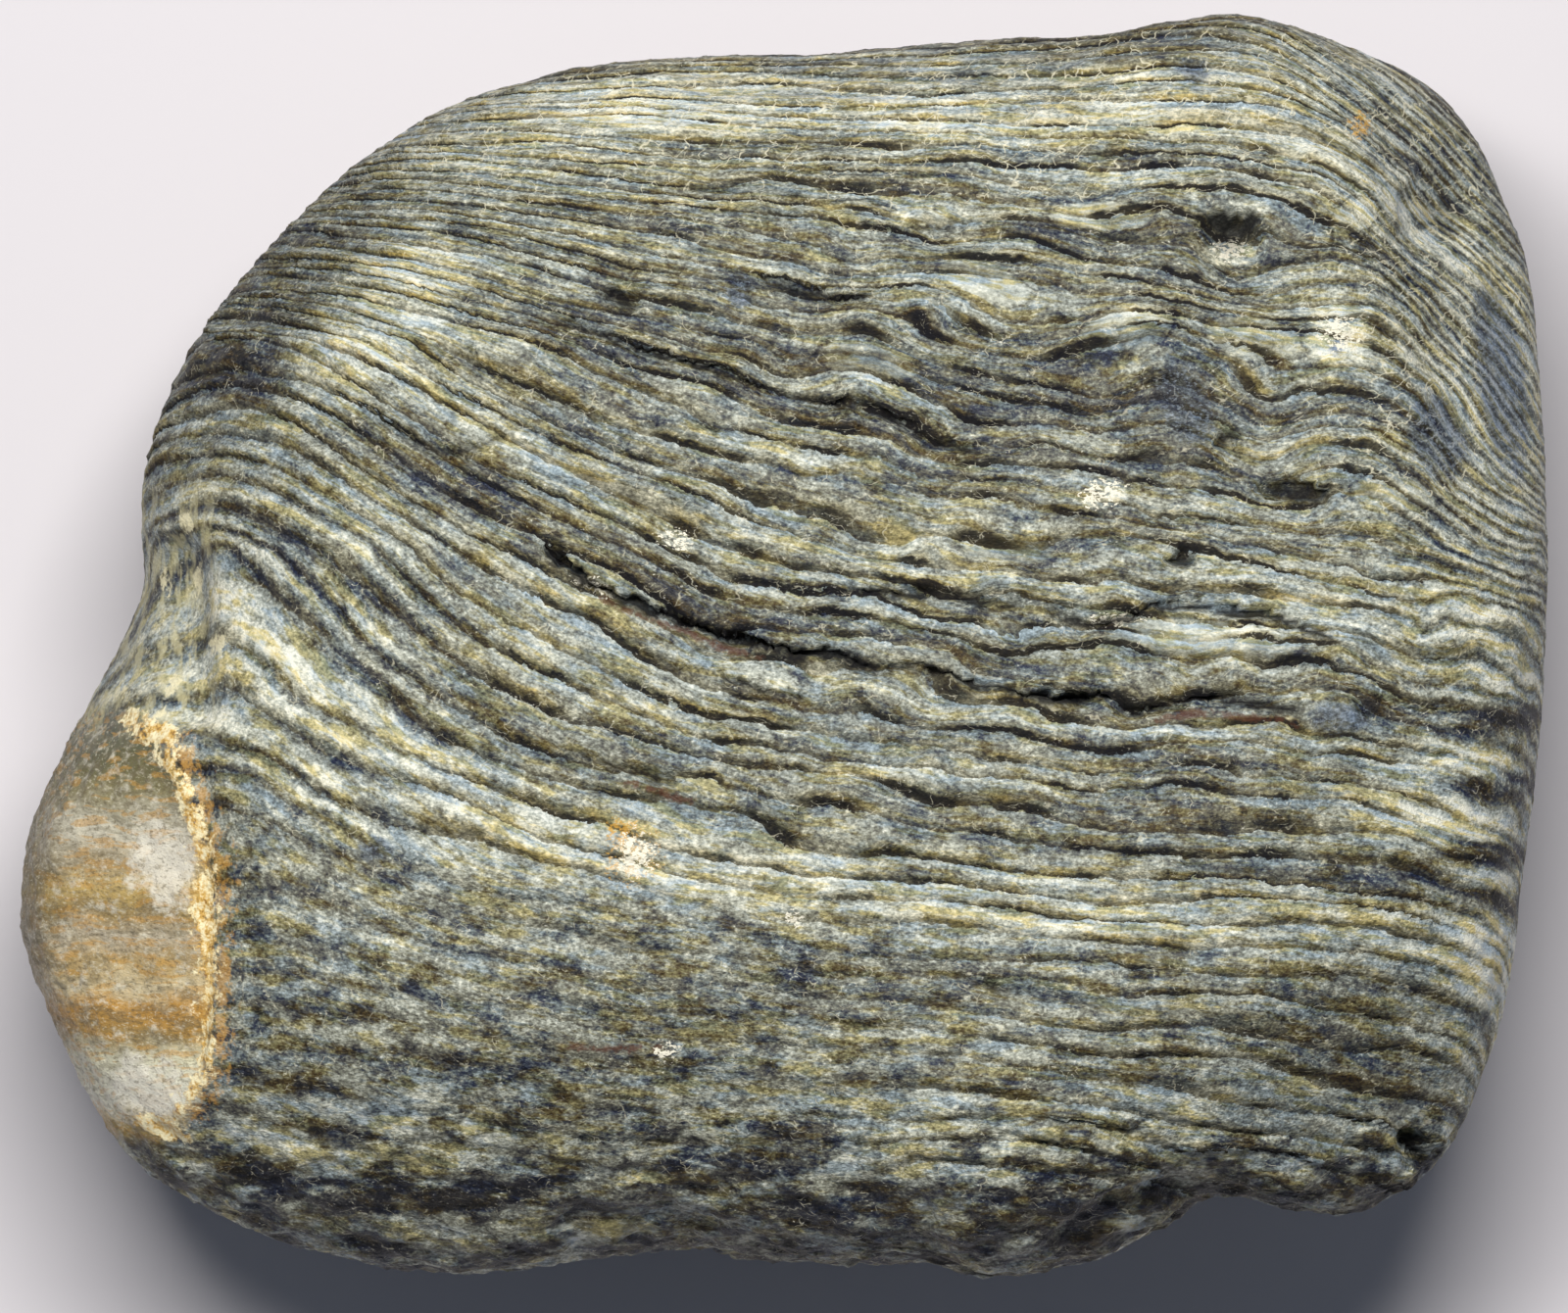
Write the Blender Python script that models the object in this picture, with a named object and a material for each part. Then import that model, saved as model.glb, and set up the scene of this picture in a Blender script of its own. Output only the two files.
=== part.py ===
# A water-worn pebble of prairie agate: one solid of banded chalcedony, about as long as a thumb.
#
# It lies on the flat of its belly with its broad face up. X runs along its length, Y across it and
# Z up. The origin is under the middle of its box, on the surface that it rests on. The shape is
# worked out in millimetres and becomes metres when the mesh is written.
#
# The steps follow the stone's own history. A rounded body is worn to its outline, flat facets are
# ground on its flanks, and its beds weather out as ledges and seams. Slits, pits and creases then
# open along the beds, and the belly is worn flat where the stone lies.

import itertools
import math

import bmesh
import bpy
import numpy as np

MM = 0.001

# Driving dimensions, in millimetres.
THICKNESS = 33.0
RIM_HEIGHT = 15.0  # of the widest outline, above the surface that the stone lies on
BELLY_GROUND = 0.9  # worn off the belly, to make the flat that it rests on
FACE = THICKNESS - RIM_HEIGHT
BELLY = RIM_HEIGHT + BELLY_GROUND

# How square the section through the body is. 2 is an ellipse, and more is squarer.
FACE_SQUARENESS = 3.7
SQUARER_TO_THE_RIGHT = 0.75
SQUARER_TO_THE_TOP = 0.4
BELLY_SQUARENESS = 2.6

# The outline from above, anticlockwise from the left end of the groove in the left flank.
OUTLINE = (
    (-27.5, 3.0), (-28.1, 1.1), (-29.9, -2.4), (-32.2, -7.1), (-32.8, -10.8), (-32.5, -13.4),
    (-30.8, -17.5), (-28.4, -21.6), (-24.5, -24.3), (-18.9, -26.3), (-13.3, -26.9), (-8.3, -26.3),
    (-4.2, -25.9), (-1.4, -26.3), (2.2, -26.6), (6.1, -26.5), (9.1, -27.1), (13.4, -26.3),
    (16.3, -24.8), (18.0, -23.5), (19.5, -23.3), (22.8, -24.0), (25.8, -23.6), (28.6, -21.4),
    (30.2, -17.7), (31.2, -13.8), (32.2, -6.3), (32.8, 0.8), (32.8, 6.3), (32.2, 15.0),
    (30.7, 19.7), (28.1, 23.8), (23.8, 26.1), (20.4, 27.1), (17.3, 27.0), (13.0, 26.2),
    (8.7, 26.1), (2.2, 25.6), (-3.3, 25.4), (-8.7, 24.7), (-15.0, 22.8), (-19.7, 19.7),
    (-23.4, 15.8), (-25.8, 12.4), (-27.3, 8.9), (-27.7, 6.3),
)
OUTLINE_HARMONICS = 4  # of the outline, that reach the middle of the face

# Flat facets worn on the body: a point on the plane, the way it faces, and how softly it meets the rest.
FACETS = (
    ((-24.9, -12.0, 28.0), (-0.64, -0.12, 0.76), 0.25),
    ((27.4, 17.0, 27.4), (0.78, 0.26, 0.57), 0.5),
    ((26.0, -21.0, 24.0), (0.45, -0.55, 0.70), 0.9),
    ((-14.0, -23.5, 26.0), (-0.20, -0.75, 0.63), 0.9),
    ((-22.5, 12.5, 26.2), (-0.74, 0.38, 0.56), 1.2),
    ((14.0, -10.0, 2.6), (0.45, -0.30, -0.84), 1.5),
    ((-16.0, 9.0, 2.4), (-0.50, 0.35, -0.79), 1.5),
)

# The beds sag from left to right as a cloth does, by this much at each height on the face.
SAG_AT = (
    (-27.1, 3.8), (-18.6, 6.8), (-10.2, 10.2), (-2.5, 12.9), (4.2, 15.7), (13.1, 15.5),
    (15.2, 12.3), (17.8, 7.8), (20.8, 4.2), (23.7, 0.0),
)
SAG_START = -21.1
SAG_LENGTH = 17.3
SAG_SOFTNESS = 3.0
BED_DIP = 0.25  # rise of a bed for each millimetre of depth

# Places where the beds arch over or dip under something: centre, reach along and across, and rise.
FOLDS = (
    ((19.3, 16.3), (2.4, 1.7), -0.93),
    ((19.3, 19.4), (2.4, 1.3), 0.42),
    ((16.4, 13.1), (2.5, 2.5), 1.06),
    ((20.8, 11.0), (2.6, 1.8), -1.06),
    ((22.1, 5.9), (2.6, 1.2), -0.68),
    ((14.9, -2.7), (0.9, 0.8), -0.6),
    ((29.3, -8.0), (2.2, 2.0), -0.85),
    ((3.6, 11.4), (2.4, 1.8), 0.7),
    ((5.2, 14.6), (2.0, 1.6), 0.6),
)

# Open slits along the beds: route, half width, depth, and how far the floor slopes out below.
SLITS = {
    "long slit": (
        ((-10.0, 4.0), (-9.0, 3.3), (-7.6, 2.5), (-6.2, 1.9), (-4.0, 1.1), (-2.3, 0.4), (-0.5, 0.1),
         (2.2, -0.3), (4.3, -1.0)), 0.26, 1.5, 2.0),
    "long slit, right half": (
        ((4.3, -1.0), (5.8, -0.8), (8.1, -1.5), (9.7, -1.8), (11.1, -2.2), (12.7, -2.1), (13.8, -2.0),
         (14.9, -2.7), (15.9, -2.6), (17.8, -2.1), (21.1, -2.5), (22.5, -2.6)), 0.26, 1.2, 2.0),
    "arched slit": (
        ((11.2, 1.7), (12.3, 1.1), (14.1, 1.0), (15.9, 1.8), (17.8, 1.7), (19.8, 1.5), (21.1, 1.3),
         (22.4, 0.8), (23.9, 0.2)), 0.20, 0.9, 1.6),
    "short slit": (((2.9, 2.5), (4.8, 2.4), (6.8, 2.2), (10.2, 1.7)), 0.16, 0.6, 1.6),
    "wavy seam": (((-1.2, 15.8), (0.1, 15.5), (1.8, 15.0), (4.0, 15.0)), 0.24, 0.7, 1.2),
    "dipping seam": (((-10.1, 14.3), (-7.6, 13.3), (-4.2, 12.2), (-2.3, 11.6), (-0.4, 10.9)), 0.18, 0.6, 1.4),
    "stepped seam": (
        ((0.1, 10.7), (2.2, 10.5), (4.4, 9.9), (5.7, 9.1), (6.5, 8.6), (8.7, 8.3)), 0.20, 0.7, 1.4),
    "high seam": (((3.3, 18.0), (6.5, 17.9), (9.0, 17.7)), 0.14, 0.45, 1.4),
    "low seam": (((-10.2, -3.7), (-8.2, -4.7), (-5.9, -5.5), (-3.5, -6.1)), 0.18, 0.5, 1.6),
    "seam under the slit": (
        ((-6.5, 0.0), (-4.6, -0.8), (-2.9, -1.2), (-1.1, -1.7), (1.3, -2.5)), 0.15, 0.45, 1.6),
    "right low seam": (((16.1, -8.6), (20.1, -9.7), (25.5, -9.9)), 0.15, 0.4, 1.6),
    "fine low seam": (((2.9, -13.2), (8.7, -14.5), (13.0, -15.1), (20.6, -15.9)), 0.14, 0.4, 1.6),
    "left scarp": (
        ((-17.1, 9.7), (-15.6, 8.8), (-13.9, 8.4), (-12.6, 8.8), (-10.9, 9.6)), 0.16, 0.45, 2.4),
}

# Broad creases, where a lower ledge or the left facet meets the body: route, half width and depth.
CREASES = {
    "left groove": (((-26.6, 5.2), (-25.9, 1.5), (-25.6, -1.5), (-25.4, -4.0)), 1.3, 0.9),
    "facet edge": (((-25.4, -4.0), (-24.9, -6.5), (-24.5, -10.2), (-24.4, -14.4), (-25.2, -18.6)), 0.45, 0.35),
    "right foot": (((11.5, -26.2), (13.8, -24.6), (16.4, -23.5), (18.1, -23.6)), 0.8, 0.9),
    "left foot": (((-10.1, -25.9), (-8.4, -25.2), (-5.0, -25.0), (-2.3, -25.7)), 0.7, 0.6),
}

# Pits: centre, half length, half width, turn in degrees and depth.
PITS = {
    "hole": ((19.1, 18.1), 1.15, 0.62, -8, 2.0),
    "bowl under the hole": ((19.3, 16.9), 1.7, 0.95, 0, 0.5),
    "slot": ((-6.9, 14.9), 0.95, 0.42, -22, 1.0),
    "eye": ((21.9, 6.6), 1.8, 0.5, -3, 1.3),
    "upper nick": ((15.5, 8.2), 1.0, 0.45, 8, 0.7),
    "dark hollow": ((20.9, 11.0), 1.4, 0.6, -5, 0.6),
    "corner pit": ((27.0, -21.3), 0.65, 0.85, 20, 1.6),
    "corner dish": ((28.0, -22.0), 1.0, 0.6, 35, 0.5),
    "side dish": ((28.0, 18.7), 1.9, 1.9, 0, 0.7),
}

# Low swellings: centre, half length, half width, turn in degrees and height.
SWELLINGS = {
    "wave crest": ((15.2, 13.9), 2.2, 0.9, 6, 0.28),
    "pale lens": ((20.2, 13.1), 2.1, 0.9, -12, 0.25),
    "lens between the slits": ((18.9, 0.0), 4.6, 0.9, -3, 0.30),
    "bead on the slit": ((14.6, -2.0), 1.0, 0.6, -20, 0.35),
    "upper left shoulder": ((-17.5, 14.5), 5.5, 4.0, 35, 0.7),
    "right shoulder": ((24.0, 20.0), 4.0, 4.0, 0, 0.6),
}

LEDGE_PITCH = 0.60  # between the random heights that make the beds, so a bed is about twice this
LEDGE_LENGTH = 9.0  # over which a bed swells and thins
LEDGE_HEIGHT = 0.12
SEAM_DEPTH = 0.30
SEAM_SHARE = 0.36
BENCH_PITCH = 1.7  # the same for groups of beds
BENCH_LENGTH = 15.0
BENCH_HEIGHT = 0.16
SWELL_PITCH = 11.0
SWELL_HEIGHT = 0.45
LUMP_PITCH = 2.1
LUMP_HEIGHT = 0.10

SPHERE_CUTS = 8  # of the icosphere that the stone is shaped from
FACE_ZOOM = 1.3  # draws the sphere's points towards the face, where the detail is
TRIANGLES = 9200
ANGLE_STEPS = 1440
NEARLY_FLAT = 0.05  # a point of the belly lower than this lies on the flat
STONE_GREY = (0.21, 0.21, 0.155, 1.0)
STONE_ROUGHNESS = 0.55


def smoothstep(low, high, value):
    share = np.clip((value - low) / (high - low), 0.0, 1.0)
    return share * share * (3.0 - 2.0 * share)


def softened(value, softness):
    """value where it is positive and 0 where it is negative, rounded over between."""
    return softness * np.logaddexp(0.0, value / softness)


def curve_through(points, closed, steps):
    """A smooth curve through points, as a Catmull-Rom spline with steps points to each span."""
    knots = np.array(points, float)
    if closed:
        before = np.roll(knots, 1, axis=0)
        after = np.roll(knots, -1, axis=0)
    else:
        before = np.vstack((knots[:1], knots[:-1]))
        after = np.vstack((knots[1:], knots[-1:]))
    leaving = (after - before) / 2.0
    arriving = np.roll(leaving, -1, axis=0)
    spans = len(knots) if closed else len(knots) - 1
    t = np.arange(steps)[None, :, None] / steps
    curve = (
        (2 * t**3 - 3 * t**2 + 1) * knots[:spans, None]
        + (t**3 - 2 * t**2 + t) * leaving[:spans, None]
        + (3 * t**2 - 2 * t**3) * after[:spans, None]
        + (t**3 - t**2) * arriving[:spans, None]
    ).reshape(-1, 2)
    return curve if closed else np.vstack((curve, knots[-1:]))


def scatter(cells, seed):
    """One repeatable random number from -1 to 1 for each whole-numbered cell."""
    mixed = (cells * np.array((73856093, 19349663, 83492791))).sum(axis=1) + seed * 2654435761
    mixed = (mixed ^ (mixed >> 13)) * 1274126177 & 0xFFFFFFFF
    mixed = (mixed ^ (mixed >> 16)) * 668265263 & 0xFFFFFFFF
    return (mixed ^ (mixed >> 15)) / 2147483648.0 - 1.0


def noise(points, pitch, seed):
    """Smooth noise from -1 to 1, with a new random value every pitch along each axis."""
    places = points / np.array(pitch, float)
    cells = np.floor(places).astype(np.int64)
    share = places - cells
    share = share * share * (3.0 - 2.0 * share)
    total = np.zeros(len(points))
    for corner in itertools.product((0, 1), repeat=3):
        weight = np.where(corner, share, 1.0 - share).prod(axis=1)
        total += weight * scatter(cells + np.array(corner), seed)
    return total


def outline_radii():
    """The outline's radius at every step of angle: as it is, and with only its broad shape."""
    curve = curve_through(OUTLINE, closed=True, steps=16)
    angle = np.arctan2(curve[:, 1], curve[:, 0])
    order = np.argsort(angle)
    steps = np.linspace(-math.pi, math.pi, ANGLE_STEPS, endpoint=False)
    radius = np.interp(steps, angle[order], np.hypot(*curve.T)[order], period=2 * math.pi)
    waves = np.fft.rfft(radius)
    waves[OUTLINE_HARMONICS + 1:] = 0.0
    return steps, radius, np.fft.irfft(waves, ANGLE_STEPS)


def body(sphere):
    """A unit sphere's points, moved onto the rounded body: an outline, a crowned face and a belly."""
    steps, radius, broad = outline_radii()
    angle = np.arctan2(sphere[:, 1], sphere[:, 0])
    outline = np.interp(angle, steps, radius, period=2 * math.pi)
    broad_outline = np.interp(angle, steps, broad, period=2 * math.pi)
    across = np.hypot(sphere[:, 0], sphere[:, 1])
    up = sphere[:, 2]
    face_squareness = (
        FACE_SQUARENESS + SQUARER_TO_THE_RIGHT * np.cos(angle) + SQUARER_TO_THE_TOP * np.sin(angle)
    )
    squareness = np.where(up > 0, face_squareness, BELLY_SQUARENESS)
    stretch = (across**squareness + np.abs(up) ** squareness) ** (-1.0 / squareness)
    out = across * stretch
    detail = smoothstep(0.55, 1.0, out)
    reach = out * (broad_outline + (outline - broad_outline) * detail)
    height = up * stretch * np.where(up > 0, FACE, BELLY)
    return np.column_stack((reach * np.cos(angle), reach * np.sin(angle), RIM_HEIGHT + height))


def worn_flat(points):
    """The points that stand out past a facet's plane, drawn back onto it."""
    for place, facing, softness in FACETS:
        normal = np.array(facing) / np.linalg.norm(facing)
        past = (points - np.array(place)) @ normal
        points = points - softened(past, softness)[:, None] * normal
    return points


def bed_level(points):
    """How high in the pile of beds each point lies, in millimetres. A bed is where this is constant."""
    x, y, z = points.T
    heights, sags = np.array(SAG_AT).T
    sag = np.interp(y, heights, sags) * np.exp(-softened(x - SAG_START, SAG_SOFTNESS) / SAG_LENGTH)
    level = y - sag - BED_DIP * (z - THICKNESS)
    for (middle_x, middle_y), (along, across), rise in FOLDS:
        level -= rise * np.exp(-(((x - middle_x) / along) ** 2) - ((y - middle_y) / across) ** 2)
    waviness = 0.12 + 0.26 * smoothstep(-6.0, 10.0, x) * smoothstep(-12.0, 2.0, y)
    return level + waviness * noise(points, (3.4, 2.2, 4.0), seed=3)


def ledges(points, level):
    """Rounded beds with narrow seams between them, from weathering."""
    x, y, z = points.T
    pile = np.column_stack((x, level, z))
    hardness = noise(pile, (LEDGE_LENGTH, LEDGE_PITCH, LEDGE_LENGTH), seed=11)
    bench = noise(pile, (BENCH_LENGTH, BENCH_PITCH, BENCH_LENGTH), seed=12)
    seam = np.clip(1.0 - np.abs(hardness) / SEAM_SHARE, 0.0, 1.0) ** 2
    left_facet = smoothstep(-24.6, -25.6, x) * smoothstep(-3.0, -5.0, y)
    quiet = smoothstep(-9.0, -14.0, y + 0.25 * x)
    strength = (1.0 - 0.65 * quiet) * (1.0 - 0.9 * left_facet)
    return strength * (LEDGE_HEIGHT * hardness + BENCH_HEIGHT * bench - SEAM_DEPTH * seam)


def to_line(points, route):
    """Distance from a smooth line seen from above, + on its upper side, and share of the way along."""
    line = curve_through(route, closed=False, steps=4)
    spans = np.diff(line, axis=0)
    lengths = np.hypot(*spans.T)
    starts = np.concatenate(([0.0], np.cumsum(lengths)[:-1]))
    nearest = np.full(len(points), np.inf)
    share = np.zeros(len(points))
    side = np.ones(len(points))
    for start, span, length, walked in zip(line, spans, lengths, starts):
        offset = points - start
        along = np.clip(offset @ span / length**2, 0.0, 1.0)
        distance = np.hypot(*(offset - along[:, None] * span).T)
        nearer = distance < nearest
        nearest[nearer] = distance[nearer]
        share[nearer] = ((walked + along * length) / lengths.sum())[nearer]
        side[nearer] = np.sign(span[0] * offset[nearer, 1] - span[1] * offset[nearer, 0])
    return nearest * side, share


def opened(points, route, half_width, depth, slope):
    """A slit along a route: steep above, sloping out below, and thin at both ends."""
    distance, share = to_line(points, route)
    width = half_width * np.where(distance > 0, 1.0, slope)
    section = np.clip(1.0 - (distance / width) ** 2, 0.0, 1.0) ** 1.5
    return -depth * section * np.sqrt(np.clip(np.sin(math.pi * share), 0.0, 1.0))


def in_oval(points, centre, half_length, half_width, turn):
    """1 in the middle of a turned oval seen from above, falling smoothly to 0 at its edge."""
    offset = points - np.array(centre)
    cosine, sine = math.cos(math.radians(turn)), math.sin(math.radians(turn))
    along = (offset[:, 0] * cosine + offset[:, 1] * sine) / half_length
    across = (offset[:, 1] * cosine - offset[:, 0] * sine) / half_width
    return np.clip(1.0 - along**2 - across**2, 0.0, 1.0)


def hollows(points):
    """Depth of the slits, creases and pits, and height of the swellings, at each point of the face."""
    plan = points[:, :2]
    relief = np.zeros(len(points))
    for route, half_width, depth, slope in SLITS.values():
        relief = np.minimum(relief, opened(plan, route, half_width, depth, slope))
    for centre, half_length, half_width, turn, depth in PITS.values():
        relief -= depth * in_oval(plan, centre, half_length, half_width, turn) ** 0.75
    for route, half_width, depth in CREASES.values():
        distance, share = to_line(plan, route)
        relief -= depth * np.exp(-((distance / half_width) ** 2)) * smoothstep(0.0, 0.12, share * (1 - share))
    for centre, half_length, half_width, turn, height in SWELLINGS.values():
        relief += height * in_oval(plan, centre, half_length, half_width, turn) ** 2
    return relief


def normals_of(mesh):
    normals = np.empty(len(mesh.vertices) * 3, np.float32)
    mesh.vertex_normals.foreach_get("vector", normals)
    return normals.reshape(-1, 3).astype(float)


def set_points(mesh, points):
    mesh.vertices.foreach_set("co", points.astype(np.float32).ravel())
    mesh.update()


def face_first_sphere(mesh):
    """An icosphere in mesh, and its points drawn towards +Z, where the stone has its detail."""
    shape = bmesh.new()
    bmesh.ops.create_icosphere(shape, subdivisions=SPHERE_CUTS, radius=1.0)
    shape.to_mesh(mesh)
    shape.free()
    points = np.empty(len(mesh.vertices) * 3, np.float32)
    mesh.vertices.foreach_get("co", points)
    points = points.reshape(-1, 3).astype(float)
    points /= np.linalg.norm(points, axis=1)[:, None]
    from_back = (1.0 + points[:, 2]) * FACE_ZOOM**2
    from_face = 1.0 - points[:, 2]
    across = 2.0 * FACE_ZOOM * points[:, :2]
    whole = from_back + from_face
    return np.column_stack((across / whole[:, None], (from_back - from_face) / whole))


def weather(mesh, points):
    """Moves the body's points along its normals by its swells, lumps, ledges and hollows."""
    set_points(mesh, points)
    normals = normals_of(mesh)
    off_the_rim = smoothstep(0.5, 5.0, np.abs(points[:, 2] - RIM_HEIGHT))
    relief = SWELL_HEIGHT * noise(points, SWELL_PITCH, seed=21) * off_the_rim
    relief += LUMP_HEIGHT * noise(points, LUMP_PITCH, seed=22)
    relief += ledges(points, bed_level(points))
    relief += hollows(points) * smoothstep(0.05, 0.45, normals[:, 2])
    relief *= smoothstep(0.0, 5.0, points[:, 2])
    points = points + normals * relief[:, None]
    points[:, 2] = np.maximum(points[:, 2], 0.0)
    set_points(mesh, points)


def evaluated_copy(obj, name):
    """obj with its modifiers applied, as a new mesh."""
    graph = bpy.context.evaluated_depsgraph_get()
    mesh = bpy.data.meshes.new_from_object(obj.evaluated_get(graph))
    mesh.name = name
    return mesh


def thin(obj, triangles):
    """Keeps the triangles where the surface bends most, and about this many of them."""
    obj.data.calc_loop_triangles()
    decimate = obj.modifiers.new("keep the ledges", "DECIMATE")
    decimate.ratio = triangles / len(obj.data.loop_triangles)
    obj.data = evaluated_copy(obj, "stone")
    obj.modifiers.clear()


def settle(mesh):
    """Makes the ground belly truly flat, puts the origin under the middle of the box, and turns to metres."""
    points = np.empty(len(mesh.vertices) * 3, np.float32)
    mesh.vertices.foreach_get("co", points)
    points = points.reshape(-1, 3).astype(float)
    points[points[:, 2] < NEARLY_FLAT, 2] = 0.0
    low, high = points.min(axis=0), points.max(axis=0)
    middle = np.array(((low[0] + high[0]) / 2, (low[1] + high[1]) / 2, 0.0))
    set_points(mesh, (points - middle) * MM)


def stone_material():
    material = bpy.data.materials.new("banded stone")
    material.use_nodes = True
    shader = material.node_tree.nodes["Principled BSDF"]
    shader.inputs["Base Color"].default_value = STONE_GREY
    shader.inputs["Roughness"].default_value = STONE_ROUGHNESS
    shader.inputs["Metallic"].default_value = 0.0
    return material


def make_stone(collection):
    mesh = bpy.data.meshes.new("stone")
    weather(mesh, worn_flat(body(face_first_sphere(mesh))))
    stone = bpy.data.objects.new("stone", mesh)
    collection.objects.link(stone)
    thin(stone, TRIANGLES)
    settle(stone.data)
    stone.data.shade_smooth()
    stone.data.materials.append(stone_material())
    return stone


def main():
    for obj in list(bpy.data.objects):
        bpy.data.objects.remove(obj)
    collection = bpy.data.collections.new("prairie agate")
    bpy.context.scene.collection.children.link(collection)
    make_stone(collection)


main()
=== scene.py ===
# %% [markdown]
# # A prairie agate
# This is a pebble of banded chalcedony, lying on a pale table. A river wore it round, and weather
# etched its beds: the soft ones are dark seams, and the hard ones stand out as pale ledges.
#
# A stone like this could be sculpted by hand. Here it is grown from rules instead, because the
# stone's own history is a list of rules: a rounded body, flats worn on it, beds that sag across it,
# and clefts that opened along the beds. Each rule is one cell, so each can be changed alone.

# %% The tools and the packed frame
import itertools
import math

import bmesh
import bpy
import numpy as np
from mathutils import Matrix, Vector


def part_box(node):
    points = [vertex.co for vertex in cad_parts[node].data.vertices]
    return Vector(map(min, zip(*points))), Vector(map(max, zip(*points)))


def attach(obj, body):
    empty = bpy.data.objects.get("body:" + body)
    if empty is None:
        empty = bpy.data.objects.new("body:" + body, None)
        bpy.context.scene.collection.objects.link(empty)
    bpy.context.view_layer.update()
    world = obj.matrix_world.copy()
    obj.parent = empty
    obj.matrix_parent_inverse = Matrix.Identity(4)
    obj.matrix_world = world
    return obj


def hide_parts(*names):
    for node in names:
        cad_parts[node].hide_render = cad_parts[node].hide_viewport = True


MM = 0.001
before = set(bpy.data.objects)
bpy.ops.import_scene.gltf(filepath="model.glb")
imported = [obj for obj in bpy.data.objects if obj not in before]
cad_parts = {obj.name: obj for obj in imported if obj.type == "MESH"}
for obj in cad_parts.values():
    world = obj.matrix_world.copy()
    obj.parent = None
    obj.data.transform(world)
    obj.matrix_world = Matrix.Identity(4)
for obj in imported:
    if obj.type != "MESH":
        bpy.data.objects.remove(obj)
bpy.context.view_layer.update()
low, high = (np.array(corner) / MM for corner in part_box("stone"))
print("the solid stone is", np.round(high - low, 2), "mm")

# %% [markdown]
# ## The camera
# The stone is seen from straight above, with almost no perspective, as through a long lens from far
# off. VIEW_WIDTH is how much the frame takes in, in millimetres, at the height of the stone's widest
# outline.

# %% Look straight down through a long lens
VIEW_WIDTH = 67.73
VIEW_MIDDLE = (0.06, -0.42)
RIM_HEIGHT = 15.0
CAMERA_HEIGHT = 1500.0
SENSOR_WIDTH = 36.0

camera = bpy.data.objects.new("camera", bpy.data.cameras.new("camera"))
camera.data.sensor_width = SENSOR_WIDTH
camera.data.lens = SENSOR_WIDTH * CAMERA_HEIGHT / VIEW_WIDTH
camera.location = (VIEW_MIDDLE[0] * MM, VIEW_MIDDLE[1] * MM, (RIM_HEIGHT + CAMERA_HEIGHT) * MM)
bpy.context.scene.collection.objects.link(camera)
bpy.context.scene.camera = camera
print("lens", round(camera.data.lens), "mm")

# %% [markdown]
# ## The table and the light
# A plain pale floor stands in for whatever the stone is shown on. The light is one long soft lamp,
# almost overhead but leaning to the stone's upper edge, so that it picks out every ledge that runs
# across the stone. A dim blue sky fills the shadows.

# %% A pale floor, a long lamp and a dim sky
FLOOR_COLOUR = (0.66, 0.63, 0.655, 1.0)
FLOOR_ROUGHNESS = 0.9
FLOOR_REACH = 1.5
LAMP_DISTANCE = 380.0
LAMP_ELEVATION = 74.0
LAMP_SIZE = (200.0, 60.0)
LAMP_ASIDE = -14.0
LAMP_WATTS = 1.80
LAMP_COLOUR = (1.0, 0.985, 0.95)
SKY_COLOUR = (0.66, 0.78, 1.0, 1.0)
SKY_STRENGTH = 0.14

floor_mesh = bpy.data.meshes.new("floor")
corners = ((-1, -1), (1, -1), (1, 1), (-1, 1))
floor_mesh.from_pydata([(x * FLOOR_REACH, y * FLOOR_REACH, 0.0) for x, y in corners], [], [(0, 1, 2, 3)])
floor = bpy.data.objects.new("floor", floor_mesh)
bpy.context.scene.collection.objects.link(floor)
floor_material = bpy.data.materials.new("pale table")
floor_material.use_nodes = True
floor_shader = floor_material.node_tree.nodes["Principled BSDF"]
floor_shader.inputs["Base Color"].default_value = FLOOR_COLOUR
floor_shader.inputs["Roughness"].default_value = FLOOR_ROUGHNESS
floor_mesh.materials.append(floor_material)

lamp = bpy.data.objects.new("lamp", bpy.data.lights.new("lamp", "AREA"))
lamp.data.shape = "RECTANGLE"
lamp.data.size, lamp.data.size_y = (side * MM for side in LAMP_SIZE)
lamp.data.energy = LAMP_WATTS
lamp.data.color = LAMP_COLOUR
rise = math.radians(LAMP_ELEVATION)
turn = math.asin(LAMP_ASIDE / (LAMP_DISTANCE * math.cos(rise)))
beyond = LAMP_DISTANCE * math.cos(rise) * math.cos(turn)
lamp.location = (LAMP_ASIDE * MM, beyond * MM, LAMP_DISTANCE * math.sin(rise) * MM)
lamp.rotation_euler = (rise - math.pi / 2, 0.0, -turn)
bpy.context.scene.collection.objects.link(lamp)

sky = bpy.data.worlds.new("sky")
sky.use_nodes = True
sky.node_tree.nodes["Background"].inputs["Color"].default_value = SKY_COLOUR
sky.node_tree.nodes["Background"].inputs["Strength"].default_value = SKY_STRENGTH
bpy.context.scene.world = sky
bpy.context.scene.view_settings.view_transform = "Standard"
print("lamp", LAMP_WATTS, "W, sky", SKY_STRENGTH)

# %% [markdown]
# ## Small helpers
# Everything about the shape is worked out for all points at once, with numpy, in millimetres. The
# noise is a table of random heights that never changes, so the stone is the same on every run.

# %% Steps, curves and repeatable noise
def smoothstep(start, end, value):
    share = np.clip((value - start) / (end - start), 0.0, 1.0)
    return share * share * (3.0 - 2.0 * share)


def softened(value, softness):
    """value where it is positive and 0 where it is negative, rounded over between."""
    return softness * np.logaddexp(0.0, value / softness)


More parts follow.
